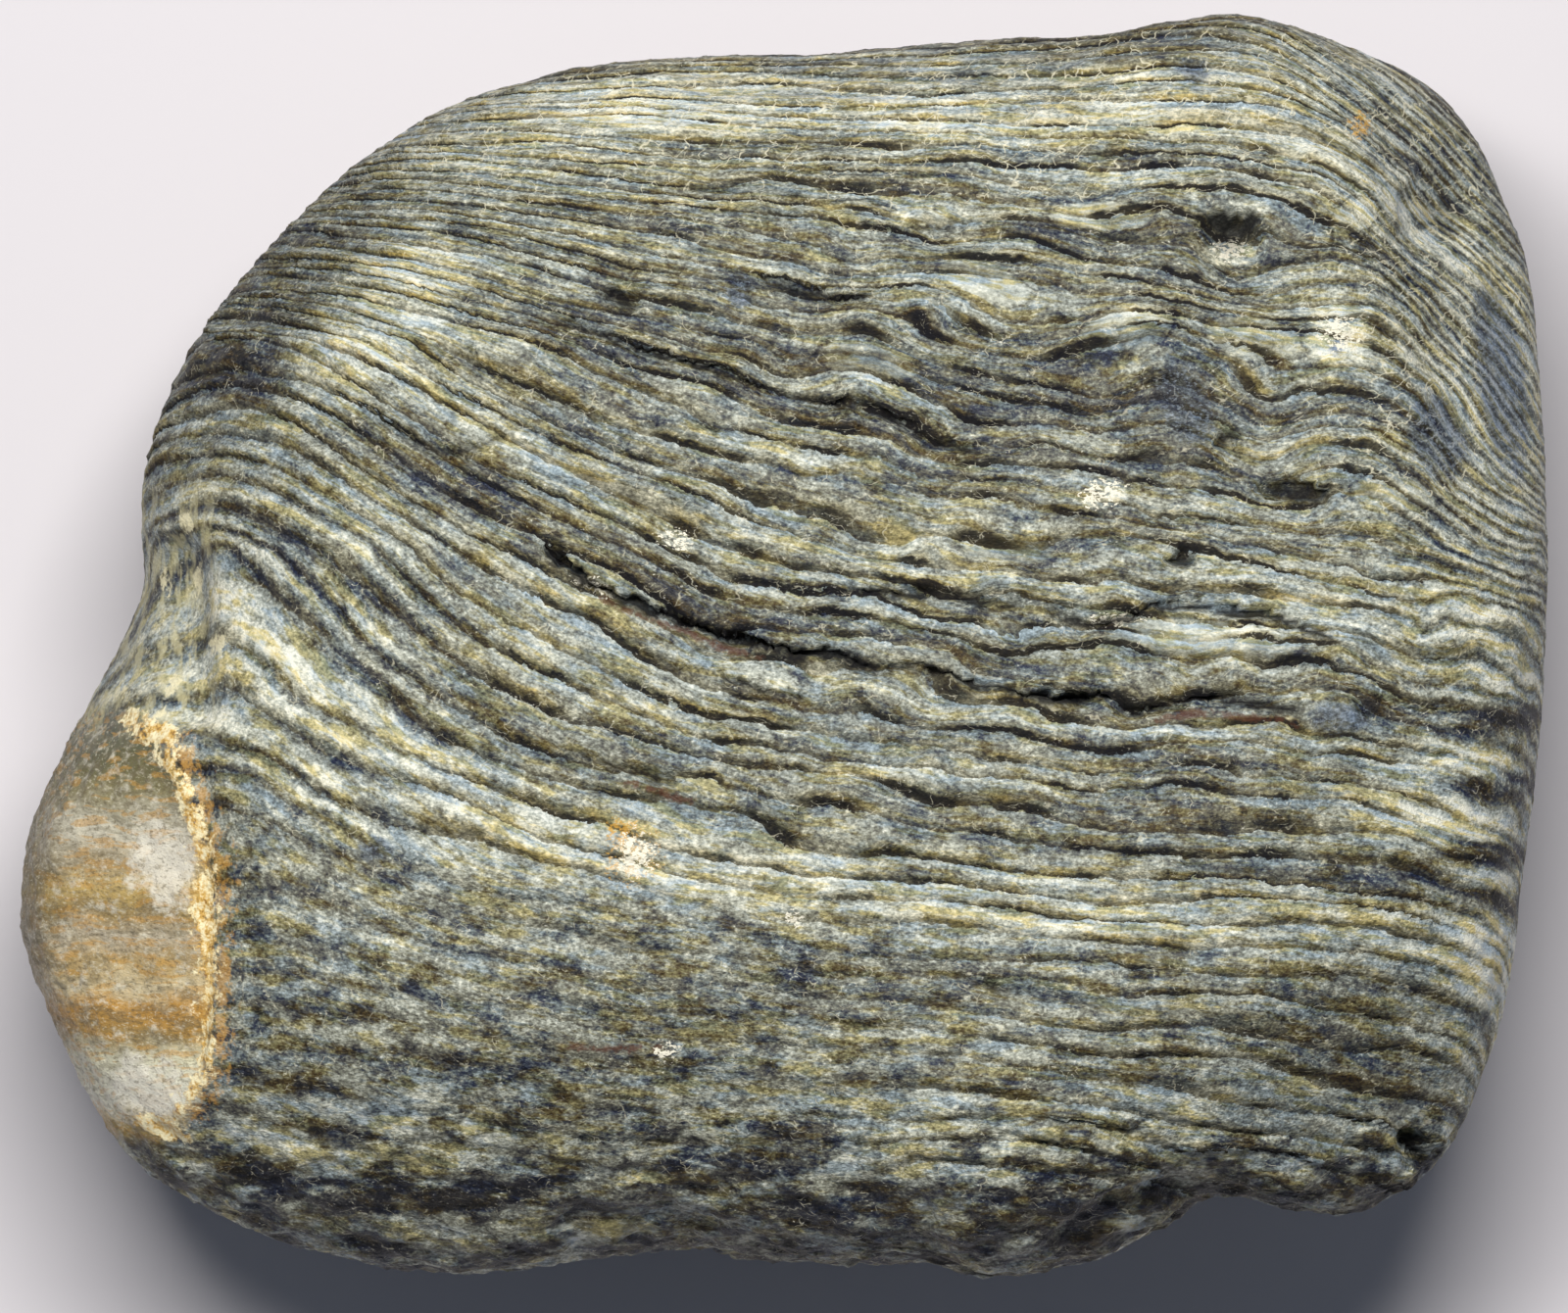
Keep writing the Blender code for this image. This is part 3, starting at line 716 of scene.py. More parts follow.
# %% Seams and ledges from the place in the pile
BED_PITCH = 1.02
BED_LENGTH = 13.0
BED_SWING = 2.5
BED_LIP = 0.24
LAMINA_PITCH = 0.36
LAMINA_LENGTH = 5.0
WOBBLE = 0.70
WOBBLE_RATE = (0.55, 0.65, 0.55)
CRINKLE = 0.36
CRINKLE_RATE = (1.9, 2.3, 1.9)
BED_SEED = 4.0


def bed_pattern(graph, pile, place, unrest, pitch, length, seed):
    """Five shares from 0 to 1 at a place in the pile of beds.

    They are the ledge's height, how far up its bed the point lies, whether the bed's edge is kept
    sharp there, the laminae, and how hard the bed is.
    """
    wobble = (graph.noise(place * WOBBLE_RATE, None, 2.0, 0.6, seed) - 0.5) * WOBBLE
    wobble = wobble * (unrest * 0.45 + 0.55)
    crinkle = (graph.noise(place * CRINKLE_RATE, None, 3.0, 0.65, seed + 1.0) - 0.5) * CRINKLE
    bent = pile + graph.vector(0.0, wobble + crinkle, 0.0)
    swing = (graph.noise(bent, (length, pitch * 2.5, length), 1.0, 0.5, seed + 2.0) - 0.5) * BED_SWING
    count = graph.axis(bent, 1) / pitch + swing
    number = graph.add("ShaderNodeMath", {"operation": "FLOOR"}, {0: count})
    part = count - number
    own = graph.vector(0.0, number * 3.1, 0.0) + pile * graph.vector(1.3 / length, 0.0, 1.0 / length)
    hardness = graph.noise(own, None, 1.0, 0.5, seed + 3.0)
    kept = graph.step(0.43, 0.60, graph.noise(own * (3.0, 1.0, 3.0), None, 1.0, 0.5, seed + 5.0))
    ledge = graph.step(0.0, BED_LIP, part) * (1.0 - part * part)
    lamina = graph.noise(bent, (LAMINA_LENGTH, LAMINA_PITCH, LAMINA_LENGTH), 2.0, 0.55, seed + 7.0)
    return ledge, part, kept, lamina, hardness


print("beds about", BED_PITCH, "mm thick, laminae about", LAMINA_PITCH, "mm")

# %% [markdown]
# ## Raising the beds
# Geometry Nodes move each point of the mesh along its normal: hard beds out, seams in. The sizes are
# inputs of the tree, in millimetres, and its seed is fixed. The tree ends in Realize Instances and
# Set Material, so that what comes out is one plain mesh with its finish on it.

# %% The tree that weathers the stone
WEATHERING = {
    "Bed Pitch": BED_PITCH,
    "Bed Length": BED_LENGTH,
    "Ledge Height": 0.48,
    "Lamina Height": 0.14,
    "Grit Size": 0.42,
    "Grit Height": 0.24,
    "Foot Size": 1.30,
    "Foot Height": 0.95,
    "Chip Size": 1.30,
    "Chip Height": 0.60,
    "Seed": BED_SEED,
}
stone_material = bpy.data.materials.new("banded chalcedony")
stone_material.use_nodes = True


def named(graph, name, kind="FLOAT"):
    return graph.add("GeometryNodeInputNamedAttribute", {"data_type": kind}, {"Name": name})


def weathering_tree():
    tree = bpy.data.node_groups.new("weathered beds", "GeometryNodeTree")
    tree.interface.new_socket("Geometry", in_out="INPUT", socket_type="NodeSocketGeometry")
    for name, value in WEATHERING.items():
        socket = tree.interface.new_socket(name, in_out="INPUT", socket_type="NodeSocketFloat")
        socket.default_value = value
    tree.interface.new_socket("Geometry", in_out="OUTPUT", socket_type="NodeSocketGeometry")
    graph = Graph(tree)
    entry = tree.nodes.new("NodeGroupInput")
    size = {name: Field(graph, entry.outputs[name]) for name in WEATHERING}
    place = graph.add("GeometryNodeInputPosition") * (1000.0, 1000.0, 1000.0)
    pile = named(graph, "pile", "FLOAT_VECTOR")
    ledge, part, kept, lamina, hardness = bed_pattern(
        graph, pile, place, named(graph, "unrest"), size["Bed Pitch"], size["Bed Length"], size["Seed"]
    )
    beds = size["Ledge Height"] * (ledge * (hardness * 0.6 + kept * 0.7) - 0.35)
    beds = (beds + size["Lamina Height"] * (lamina - 0.5)) * named(graph, "bedding")
    grit = graph.noise(place, [size["Grit Size"]] * 3, 2.0, 0.6)
    foot = graph.noise(place, [size["Foot Size"]] * 3, 2.0, 0.5)
    grown = beds + size["Grit Height"] * (grit - 0.5)
    grown = grown + size["Foot Height"] * (foot - 0.5) * named(graph, "foot")
    chips = graph.noise(place, (size["Chip Size"], size["Chip Size"] * 0.6, size["Chip Size"]), 3.0, 0.6, 9.0)
    grown = grown + size["Chip Height"] * (chips - 0.5) * named(graph, "facet")
    offset = graph.add("GeometryNodeInputNormal") * graph.vector(grown * MM, grown * MM, grown * MM)
    moved = graph.add(
        "GeometryNodeSetPosition", None, {"Geometry": Field(graph, entry.outputs[0]), "Offset": offset}
    )
    whole = graph.add("GeometryNodeRealizeInstances", None, {"Geometry": moved})
    finished = graph.add("GeometryNodeSetMaterial", None, {"Geometry": whole, "Material": stone_material})
    leave = tree.nodes.new("NodeGroupOutput")
    tree.links.new(finished.socket, leave.inputs[0])
    return tree


def evaluated_mesh(obj, name):
    """What obj looks like with its modifiers, as a new plain mesh."""
    graph = bpy.context.evaluated_depsgraph_get()
    mesh = bpy.data.meshes.new_from_object(obj.evaluated_get(graph))
    mesh.name = name
    return mesh


print(len(WEATHERING), "inputs")

# %% Weather the mesh and thin it
MOST_TRIANGLES = 198000

blank = bpy.data.objects.new("blank", stone_mesh)
bpy.context.scene.collection.objects.link(blank)
weather = blank.modifiers.new("weathered beds", "NODES")
weather.node_group = weathering_tree()
for socket in weather.node_group.interface.items_tree:
    if socket.in_out == "INPUT" and socket.name in WEATHERING:
        weather[socket.identifier] = WEATHERING[socket.name]
thin = blank.modifiers.new("thin", "DECIMATE")
thin.ratio = MOST_TRIANGLES / len(stone_mesh.polygons)
weathered_mesh = evaluated_mesh(blank, "weathered stone")
blank.modifiers.clear()
bpy.data.objects.remove(blank)
weathered_mesh.calc_loop_triangles()
print(len(weathered_mesh.loop_triangles), "triangles after thinning")

# %% [markdown]
# ## Setting it on the table
# The belly is worn flat where the stone lies: no point goes below the table. The mesh is then moved
# so that its box shares its middle with the solid stone's box, and the new points are told again
# where they lie in the pile of beds, because thinning moved them a little.

# %% Flatten the belly and centre the mesh
NEARLY_FLAT = 0.05

points = read_vectors(weathered_mesh.vertices, "co") / MM
points[:, 2] = np.where(points[:, 2] < NEARLY_FLAT, 0.0, points[:, 2])
in_rules = points.copy()  # where the rules of shape put them, for the shares that are painted next
middle = (points.min(axis=0) + points.max(axis=0)) / 2
shift = (low + high) / 2 - middle
shift[2] = 0.0
write_points(weathered_mesh, (points + shift) * MM)
for name in ("pile", "bedding", "foot", "unrest", "facet"):
    weathered_mesh.attributes.remove(weathered_mesh.attributes[name])
print("moved by", np.round(shift, 3), "mm; size", np.round(np.ptp(points, axis=0), 2), "mm")

# %% [markdown]
# ## Stains, crusts and crystals
# Some marks are colour alone, and are painted on the points as shares too. Most are ovals: a middle,
# a half length, a half width and a turn in degrees. A patch of tone also has how much paler it is.
# A few patches are painted light and shade: light along the upper edge, on the upper left crest and
# on the right flank, and shade on the flank left of that crest. The crust along the edge of the flat,
# and the rust on the lower lips of the clefts, follow routes.

# %% Where the marks lie, in millimetres
OVALS = {
    "threads": (
        ((-26.5, 2.6), 0.35, 1.2, 8), ((-25.1, 2.8), 0.38, 1.2, -4), ((-28.4, -1.9), 0.9, 0.35, 20),
        ((-26.1, -1.6), 0.35, 1.0, -20), ((-24.2, 0.1), 0.55, 0.7, 0), ((-26.8, -2.9), 0.8, 0.3, 10),
        ((-25.6, 5.4), 0.5, 0.9, 10),
    ),
    "crumbs": (
        ((-8.0, 2.6), 1.7, 0.45, -28), ((14.2, 1.2), 1.9, 0.42, 6), ((-6.3, -8.9), 1.3, 1.5, 0),
        ((0.5, -11.6), 0.8, 0.6, 0), ((13.6, 6.5), 1.6, 0.9, 10), ((19.0, 17.0), 1.3, 0.7, 0),
        ((23.8, 13.4), 1.5, 1.1, 0), ((-4.6, 4.6), 1.2, 0.6, -10), ((-5.0, -17.3), 0.8, 0.7, 0),
    ),
    "ochre": (((-6.4, -8.9), 1.5, 1.5, 20), ((24.7, 22.4), 0.8, 0.6, 60), ((-6.8, -7.9), 0.9, 0.9, 0)),
    "crystals": (
        ((-1.8, 15.3), 0.75, 1.2, 5), ((17.2, 10.4), 1.4, 2.6, 22), ((17.6, 24.7), 0.9, 0.8, 0),
        ((23.7, 12.9), 0.5, 0.45, 0), ((-17.5, -8.7), 1.0, 0.6, 0), ((23.8, -3.0), 1.8, 0.9, 0),
        ((30.8, 11.5), 1.4, 5.5, 8), ((28.0, 9.0), 1.6, 2.5, 20),
    ),
    "lens": (
        ((14.7, 13.6), 2.2, 1.1, 12), ((20.1, 13.2), 2.2, 1.0, -10), ((17.9, 0.3), 4.6, 0.9, -4),
        ((24.4, 18.4), 1.2, 0.7, 30), ((8.6, 15.6), 2.2, 0.8, -20), ((3.6, 12.2), 2.4, 0.8, -10),
        ((13.6, 18.4), 2.4, 0.7, 0), ((9.6, 4.2), 2.2, 0.7, -5), ((26.2, 6.6), 2.0, 0.8, -5),
        ((14.8, -25.0), 1.8, 1.3, 35), ((-7.6, -25.2), 2.8, 0.7, 0),
    ),
    "cream": (
        ((23.9, 13.3), 1.9, 1.7, 0), ((19.1, 16.8), 1.5, 0.8, 0), ((27.6, 18.2), 0.5, 1.2, 30),
        ((14.2, 6.4), 0.6, 0.4, 10),
    ),
}
# the first oval is a painted highlight on the flat, and the second a pale patch low on it
HIGHLIGHT_AND_PALE_OVALS = (((-26.4, -9.4), 1.9, 2.4, 15), ((-27.2, -19.0), 2.2, 1.8, -30))
CRUST_PATCHES = (
    ((-27.0, -3.6), 1.9, 0.9, -25), ((-24.9, -11.0), 0.8, 2.6, 0), ((-26.6, -20.7), 2.0, 0.6, -25),
)
CRUST_ROUTE = (
    (-27.0, -3.4), (-26.0, -5.2), (-25.0, -8.0), (-24.6, -10.4), (-24.6, -14.4), (-24.8, -18.0),
    (-26.4, -20.9),
)
RUST_ROUTES = (
    ((-8.0, 2.2), (-6.2, 1.4), (-4.0, 0.6), (-2.3, -0.1), (-0.5, -0.5)),
    ((15.6, -3.2), (17.6, -2.8), (19.6, -3.0), (22.4, -3.2)),
    ((-6.8, -5.7), (-5.2, -6.2), (-3.6, -6.6)),
    ((-9.8, -17.0), (-7.4, -17.2), (-4.8, -17.1)),
)
TONE_AND_LIGHT_PATCHES = (
    ((31.2, -3.1), 2.0, 0.45, 4, -0.58), ((31.0, -6.0), 2.3, 0.5, 2, -0.6),
    ((30.8, -8.9), 2.3, 0.46, 0, -0.6), ((31.0, -11.0), 1.8, 0.36, -4, -0.5),
    ((29.4, -4.6), 2.3, 0.6, 0, 0.12), ((28.8, -7.5), 2.4, 0.6, 0, 0.14),
    ((30.0, -9.9), 1.5, 0.32, 0, 0.28), ((30.4, -12.4), 1.3, 0.5, -8, 0.22),
    ((30.9, -1.4), 1.2, 0.4, 8, 0.2), ((27.0, 20.5), 1.3, 0.3, -25, -0.3),
    ((27.9, 19.3), 1.2, 0.28, -15, -0.3), ((28.2, 18.0), 1.1, 0.28, -10, -0.25),
    ((27.4, 19.9), 1.2, 0.22, -20, 0.25), ((27.9, 18.6), 1.2, 0.22, -12, 0.25),
    # painted light on the upper left crest at (-17.7, 14.0); the patch at (-22.0, 12.4) on the next line is
    # painted shade on the flank left of it
    ((-20.5, -17.9), 3.2, 1.2, -10, -0.18), ((-17.7, 14.0), 4.4, 1.9, 50, 0.28),
    ((-14.2, 13.6), 2.6, 2.2, 45, 0.12), ((-22.0, 12.4), 3.4, 1.6, 52, -0.08),
    ((-19.8, -2.7), 8.0, 3.6, -35, 0.04), ((-8.4, -7.2), 9.0, 2.4, -18, 0.1),
    ((12.8, -11.4), 11.0, 1.5, -6, 0.04), ((28.8, -5.9), 3.0, 1.8, 0, 0.16),
    # painted light along the upper edge, which faces the lamp: the patches at (8.5, 23.7), (-6.3, 23.3) and
    # (23.3, 23.3)
    ((8.5, 23.7), 16.0, 1.9, 4, 0.16), ((-6.3, 23.3), 9.0, 1.7, 12, 0.16),
    ((23.3, 23.3), 5.0, 2.6, -30, 0.12), ((6.0, -20.7), 11.0, 2.4, 0, 0.13),
    ((8.5, 11.4), 10.0, 3.6, 0, -0.07), ((-14.0, 2.4), 2.6, 2.2, -35, -0.17),
    ((1.0, 5.6), 4.6, 2.6, -15, 0.09), ((4.6, -8.6), 5.0, 1.6, -8, 0.1),
    # painted light on the right flank at (31.8, 0.0), which turns away from the lamp
    ((31.8, 0.0), 3.0, 20.0, 0, 0.11), ((-12.0, -16.5), 9.0, 2.2, -8, -0.07),
    # painted shade on the upper left flank at (-24.0, 12.0)
    ((-24.0, 12.0), 2.2, 4.5, -30, -0.04), ((-19.0, -22.2), 5.0, 1.6, -28, 0.05),
    ((25.0, 6.0), 6.0, 7.0, 0, 0.08), ((30.6, -15.0), 2.5, 3.6, 0, 0.14),
    ((-15.2, -20.0), 6.0, 1.2, -14, 0.16),
)
CRUST_HALF_WIDTH = 0.52
HALO_HALF_WIDTH = 0.7
HALO_ASIDE = 0.6
RUST_HALF_WIDTH = 0.20
print(sum(map(len, OVALS.values())), "ovals of colour,", len(TONE_AND_LIGHT_PATCHES), "patches of tone")

# %% Paint the marks on the points
def tone_and_painted_light(plan):
    """How much paler than its beds the stone is, in soft patches half as wide again as listed: its own tone,
    and in a few patches painted light and shade.
    """
    shift = np.zeros(len(plan))
    for centre, half_length, half_width, turn, amount in TONE_AND_LIGHT_PATCHES:
        shift += amount * in_oval(plan, centre, half_length * 1.5, half_width * 1.5, turn)
    return shift


def beside(plan, route, half_width):
    """1 on a route, falling away on both sides of it and towards its ends."""
    distance, share = to_line(plan, route)
    return np.exp(-((distance / half_width) ** 2)) * smoothstep(0.0, 0.06, share * (1 - share))


plan = in_rules[:, :2]
on_face = smoothstep(RIM_HEIGHT - 2.0, RIM_HEIGHT + 2.0, in_rules[:, 2])
clefts, pits = cleft_depths(plan)
crust_line = beside(plan, CRUST_ROUTE, CRUST_HALF_WIDTH)
all_round = {
    "pile": pile_of(in_rules),
    "facet": facet_share(in_rules),
    "granular": granular_share(in_rules),
    "foot": foot_share(in_rules),
    "flush": flush_share(in_rules),
    "unrest": unrest_share(in_rules),
    "polished": polished_share(in_rules),
    "bleached": in_any(plan, HIGHLIGHT_AND_PALE_OVALS),
}
face_only = {
    # cleft: painted shade, near black, inside the clefts and the pits
    "cleft": np.maximum(smoothstep(0.10, 0.50, clefts), smoothstep(0.35, 0.80, pits)),
    "crust": np.maximum(crust_line, 1.3 * in_any(plan, CRUST_PATCHES)),
    "halo": beside(plan - np.array((HALO_ASIDE, 0.0)), CRUST_ROUTE, HALO_HALF_WIDTH),
    "rust": np.max([beside(plan, route, RUST_HALF_WIDTH) for route in RUST_ROUTES], axis=0),
    "curtain": curtain_share(in_rules),
    "flaked": flaked_share(in_rules),
    # shift: the stone's own tone patches, with painted light and shade in a few
    "shift": tone_and_painted_light(plan),
    **{name: in_any(plan, ovals) for name, ovals in OVALS.items()},
}
for name, share in all_round.items():
    write_attribute(weathered_mesh, name, share)
for name, share in face_only.items():
    write_attribute(weathered_mesh, name, share * on_face)
print(len(weathered_mesh.attributes), "attributes")

# %% [markdown]
# ## The finish
# The colour is worked out in one number first, the tone: how pale the stone is at a point. Broad
# beds, thin laminae and mineral grain each add their part, by the weights in TONE_OF, and so does
# painted light: each bed is paler up its back, which faces the lamp. COLUMN says which beds of the
# pile are paler or darker. A ramp then turns tone into colour, from blue-black seams through olive
# and grey-green to cream. Stains and crusts go on top.

# %% Colours by their everyday values
def paint(red, green, blue):
    """A colour given as screen values from 0 to 255, in the linear values that Blender works in."""
    shares = (red / 255, green / 255, blue / 255)
    return (*(((v + 0.055) / 1.055) ** 2.4 if v > 0.04 else v / 12.92 for v in shares), 1.0)


TONES = (
    (0.00, (26, 26, 31)),
    (0.18, (60, 59, 59)),
    (0.34, (92, 91, 82)),
    (0.48, (119, 120, 107)),
    (0.62, (153, 155, 142)),
    (0.78, (190, 192, 177)),
    (1.00, (238, 236, 218)),
)
COLUMN_RANGE = 28.0
COLUMN = (
    (-28.0, -0.08), (-24.5, -0.08), (-21.5, -0.06), (-18.5, 0.0), (-16.0, -0.04), (-14.2, -0.02),
    (-12.8, 0.12), (-11.2, 0.14), (-10.0, -0.06), (-8.4, -0.04), (-6.6, 0.10), (-5.4, 0.0),
    (-4.4, 0.10), (-3.4, -0.08), (-1.2, -0.02), (0.3, 0.08), (2.4, -0.04), (6.0, -0.06), (9.0, -0.04),
    (13.4, 0.04), (17.0, -0.02), (20.4, 0.03), (22.2, 0.14), (24.2, 0.06), (28.0, -0.10),
)
MIDDLE_TONE = 0.565
TONE_OF = {
    # part: painted light, each bed paler up its back, which faces the lamp
    "hardness": 0.50, "part": 0.14, "lamina": 0.72, "broad": 0.35, "grain": 0.66, "patches": 0.75,
    "fine": 0.72, "ragged": 0.60, "cloud": 0.35, "lens": 0.11, "rim": 0.16, "foot": 0.40,
    "cream": 0.30, "flush": 0.36,
}
WASHES = {
    "blue": (188, 206, 234),
    "deep blue": (120, 158, 255),
    # ochre edge and shade: partly ochre stain and partly painted shade on the lip of each bed
    "ochre edge and shade": (200, 174, 92),
    "brown": (228, 206, 116),
    "deep brown": (255, 216, 120),
    "crystal blue": (132, 148, 186),
}
MARKS = {
    # seam: a dark seam, with the painted shadow of the overhanging lip
    "seam": (15, 15, 22),
    # cleft: painted shade inside the clefts and the pits
    "cleft": (14, 13, 17),
    # painted glint: near-white specks that stand in for small highlights
    "painted glint": (238, 234, 222),
    # flake edge and glint: pale flake edges, partly painted glints
    "flake edge and glint": (216, 210, 184),
    "crystal": (150, 162, 176),
    "ochre": (208, 158, 66),
    "rust": (84, 50, 34),
    "crumb": (232, 226, 206),
    "curtain": (200, 192, 150),
    "thread": (236, 226, 186),
    "halo": (190, 142, 66),
}
print(len(TONES), "tones,", len(COLUMN), "levels,", len(WASHES), "washes,", len(MARKS), "marks")

# %% Small helpers for shader nodes
def share_of(graph, name):
    """A share that was painted on the points."""
    return graph.add("ShaderNodeAttribute", {"attribute_name": name}, output=2)


def ramp(graph, stops, value):
    """A ramp of colours from (position, screen values) pairs, or of greys from (position, grey)."""
    shades = graph.add("ShaderNodeValToRGB", None, {0: value})
    elements = shades.socket.node.color_ramp.elements
    while len(elements) < len(stops):
        elements.new(0.5)
    for element, (position, shade) in zip(elements, stops):
        element.position = position
        element.color = paint(*shade) if isinstance(shade, tuple) else (shade, shade, shade, 1.0)
    return shades


def tint(graph, share, under, over, blend="MIX"):
    """under, with over, a field or screen values, laid on it where share is 1."""
    over = over if isinstance(over, Field) else paint(*over)
    return graph.add(
        "ShaderNodeMix", {"data_type": "RGBA", "blend_type": blend}, {0: share, 6: under, 7: over}, output=2
    )


def bed_column(graph, level):
    """How much paler each bed of the pile is than the middle grey."""
    stops = [((y + COLUMN_RANGE) / COLUMN_RANGE / 2, v + 0.5) for y, v in COLUMN]
    return ramp(graph, stops, level / COLUMN_RANGE * 0.5 + 0.5) - 0.5


print("the first wash in linear values:", np.round(paint(*WASHES["blue"]), 3))

# %% [markdown]
# Noise is what a finish spends its time on. A few noises, from fine grain to soft patches, are made
# once here, and every stain, flake and crust takes its ragged edge from one of them.

# %% The noises that the finish shares
SHARED_NOISES = {  # size in millimetres, detail, roughness and seed
    "fine": ((0.17, 0.12, 0.17), 1.0, 0.6, 31.0),
    "speck": ((0.26, 0.17, 0.26), 2.0, 0.7, 32.0),
    "ragged": ((0.50, 0.62, 0.56), 3.0, 0.75, 44.0),
    "cloud": ((0.90, 0.64, 0.90), 3.0, 0.7, 42.0),
    "patches": ((1.70, 1.10, 1.70), 2.0, 0.55, 23.0),
}


def shared_noises(graph, place):
    return {name: graph.noise(place, *settings) for name, settings in SHARED_NOISES.items()}


print(len(SHARED_NOISES), "noises, the fine one over", SHARED_NOISES["fine"][0], "mm")

# %% How pale the stone is
def stone_tone(graph, pile, place, beds, noises):
    ledge, part, kept, lamina, hardness = beds
    level = graph.axis(pile, 1)
    granular = share_of(graph, "granular")
    patches = noises["patches"]
    broad = graph.noise(pile, (14.0, 2.2, 14.0), 1.0, 0.5, 21.0)
    grain = graph.noise(pile, (0.34, 0.16, 0.34), 2.0, 0.75, 22.0)
    # the part term is painted light: each bed grows paler up its back, which faces the lamp
    banding = (hardness - 0.5) * TONE_OF["hardness"] + (part - 0.5) * TONE_OF["part"]
    banding = banding + (lamina - 0.5) * TONE_OF["lamina"]
    banding = banding * (1.0 - granular * 0.45) * (1.0 - share_of(graph, "curtain") * 0.7)
    banding = banding * (1.0 - share_of(graph, "polished") * 0.75)
    tone = MIDDLE_TONE + share_of(graph, "shift") + banding + bed_column(graph, level)
    tone = tone + (broad - 0.5) * TONE_OF["broad"]
    blob = share_of(graph, "lens") + (patches - 0.5) * 0.3
    lens = graph.step(0.08, 0.40, blob)
    rim = graph.step(0.0, 0.05, blob) * graph.step(0.16, 0.08, blob)
    tone = tone + lens * TONE_OF["lens"] - rim * TONE_OF["rim"]
    tone = tone + (grain - 0.5) * (TONE_OF["grain"] + granular * 0.15) * (1.0 - lens * 0.6)
    tone = tone + (patches - 0.5) * (TONE_OF["patches"] + granular * 0.5)
    tone = tone + (noises["fine"] - 0.5) * (TONE_OF["fine"] - lens * 0.3)
    tone = tone + (noises["ragged"] - 0.5) * (TONE_OF["ragged"] - lens * 0.3)
    tone = tone + (noises["cloud"] - 0.5) * TONE_OF["cloud"]
    dark = graph.step(0.46, 0.58, graph.noise(place, (3.6, 1.8, 3.6), 3.0, 0.65, 26.0))
    tone = tone - share_of(graph, "foot") * (dark * TONE_OF["foot"] - 0.10)
    creamy = graph.step(0.10, 0.7, share_of(graph, "cream") + (patches - 0.5))
    tone = tone + creamy * TONE_OF["cream"]
    wave = graph.step(0.0, 0.4, part) * graph.step(1.0, 0.6, part)
    return tone + share_of(graph, "flush") * (1.0 - granular * 0.5) * (wave - 0.55) * TONE_OF["flush"]


print("the heaviest part of the tone is", max(TONE_OF, key=TONE_OF.get))

# %% [markdown]
# The upper side of a bed has a bluish wash, and its lower edge an ochre one, partly stain and partly
# painted shade on the lip that faces away from the lamp. Both are multiplied, so that the grain
# stays. Deep tones take the washes more strongly. Seams are almost black where the bed's edge is
# kept sharp: dark seams, with the painted shadow of the overhanging lip in them.

# %% The colour of the beds and of the seams between them
def stone_colour(graph, pile, place, noises):
    """(colour, seam): the stone's colour, and 1 in the dark seams between its beds, with their painted
    shadow.
    """
    unrest = share_of(graph, "unrest")
    beds = bed_pattern(graph, pile, place, unrest, BED_PITCH, BED_LENGTH, BED_SEED)
    part, kept = beds[1:3]
    bedded = 1.0 - share_of(graph, "granular") * 0.75
    tone = stone_tone(graph, pile, place, beds, noises)
    deep = graph.step(0.50, 0.20, tone) * 0.5
    colour = ramp(graph, TONES, tone)
    blue = graph.noise(pile, (2.4, 0.60, 2.4), 3.0, 0.75, 24.0)
    bluish = graph.step(0.45, 0.60, blue) * (0.7 + share_of(graph, "granular") * 0.1)
    bluish = bluish + graph.step(0.45, 0.95, part) * bedded * 0.4
    colour = tint(graph, bluish, colour, WASHES["blue"], "MULTIPLY")
    colour = tint(graph, bluish * deep * 1.6, colour, WASHES["deep blue"], "MULTIPLY")
    brown = graph.noise(pile, (2.4, 0.50, 2.4), 3.0, 0.75, 25.0)
    # ochre stain along the lower lip of each bed, partly painted shade where the lip faces away from the lamp
    ochre_edge_and_shade = graph.step(0.50, 0.12, part) * bedded * (0.35 + kept * 0.4)
    ochre_edge_and_shade = ochre_edge_and_shade * (1.0 - share_of(graph, "flush") * 0.5)
    stained = graph.step(0.47, 0.60, brown) * 0.7
    colour = tint(graph, ochre_edge_and_shade, colour, WASHES["ochre edge and shade"], "MULTIPLY")
    colour = tint(graph, stained, colour, WASHES["brown"], "MULTIPLY")
    colour = tint(graph, stained * 2.0 * deep, colour, WASHES["deep brown"], "MULTIPLY")
    # seam: dark seams, and painted shade on the steep lip above each, which faces away from the lamp
    gape = kept * (unrest * 0.12 - 0.04)
    seam = graph.step(0.20, 0.10, part - gape) * (0.50 - unrest * 0.35 + kept * (0.50 + unrest * 0.35))
    seam = seam * bedded * (1.0 - share_of(graph, "flush") * 0.8) * (1.0 - share_of(graph, "polished") * 0.75)
    return tint(graph, seam * 0.9, colour, MARKS["seam"]), seam


print("washes:", ", ".join(WASHES))

# %% [markdown]
# Weathering lifts thin flakes and leaves crystals, crumbs, ochre and rust. The flakes' pale edges
# are partly painted glints, where they catch the light, and scattered specks are painted glints
# alone. The clefts and pits are painted near black, as the shade inside them. Each mark shows inside
# its painted share alone, and noise breaks up its edge.

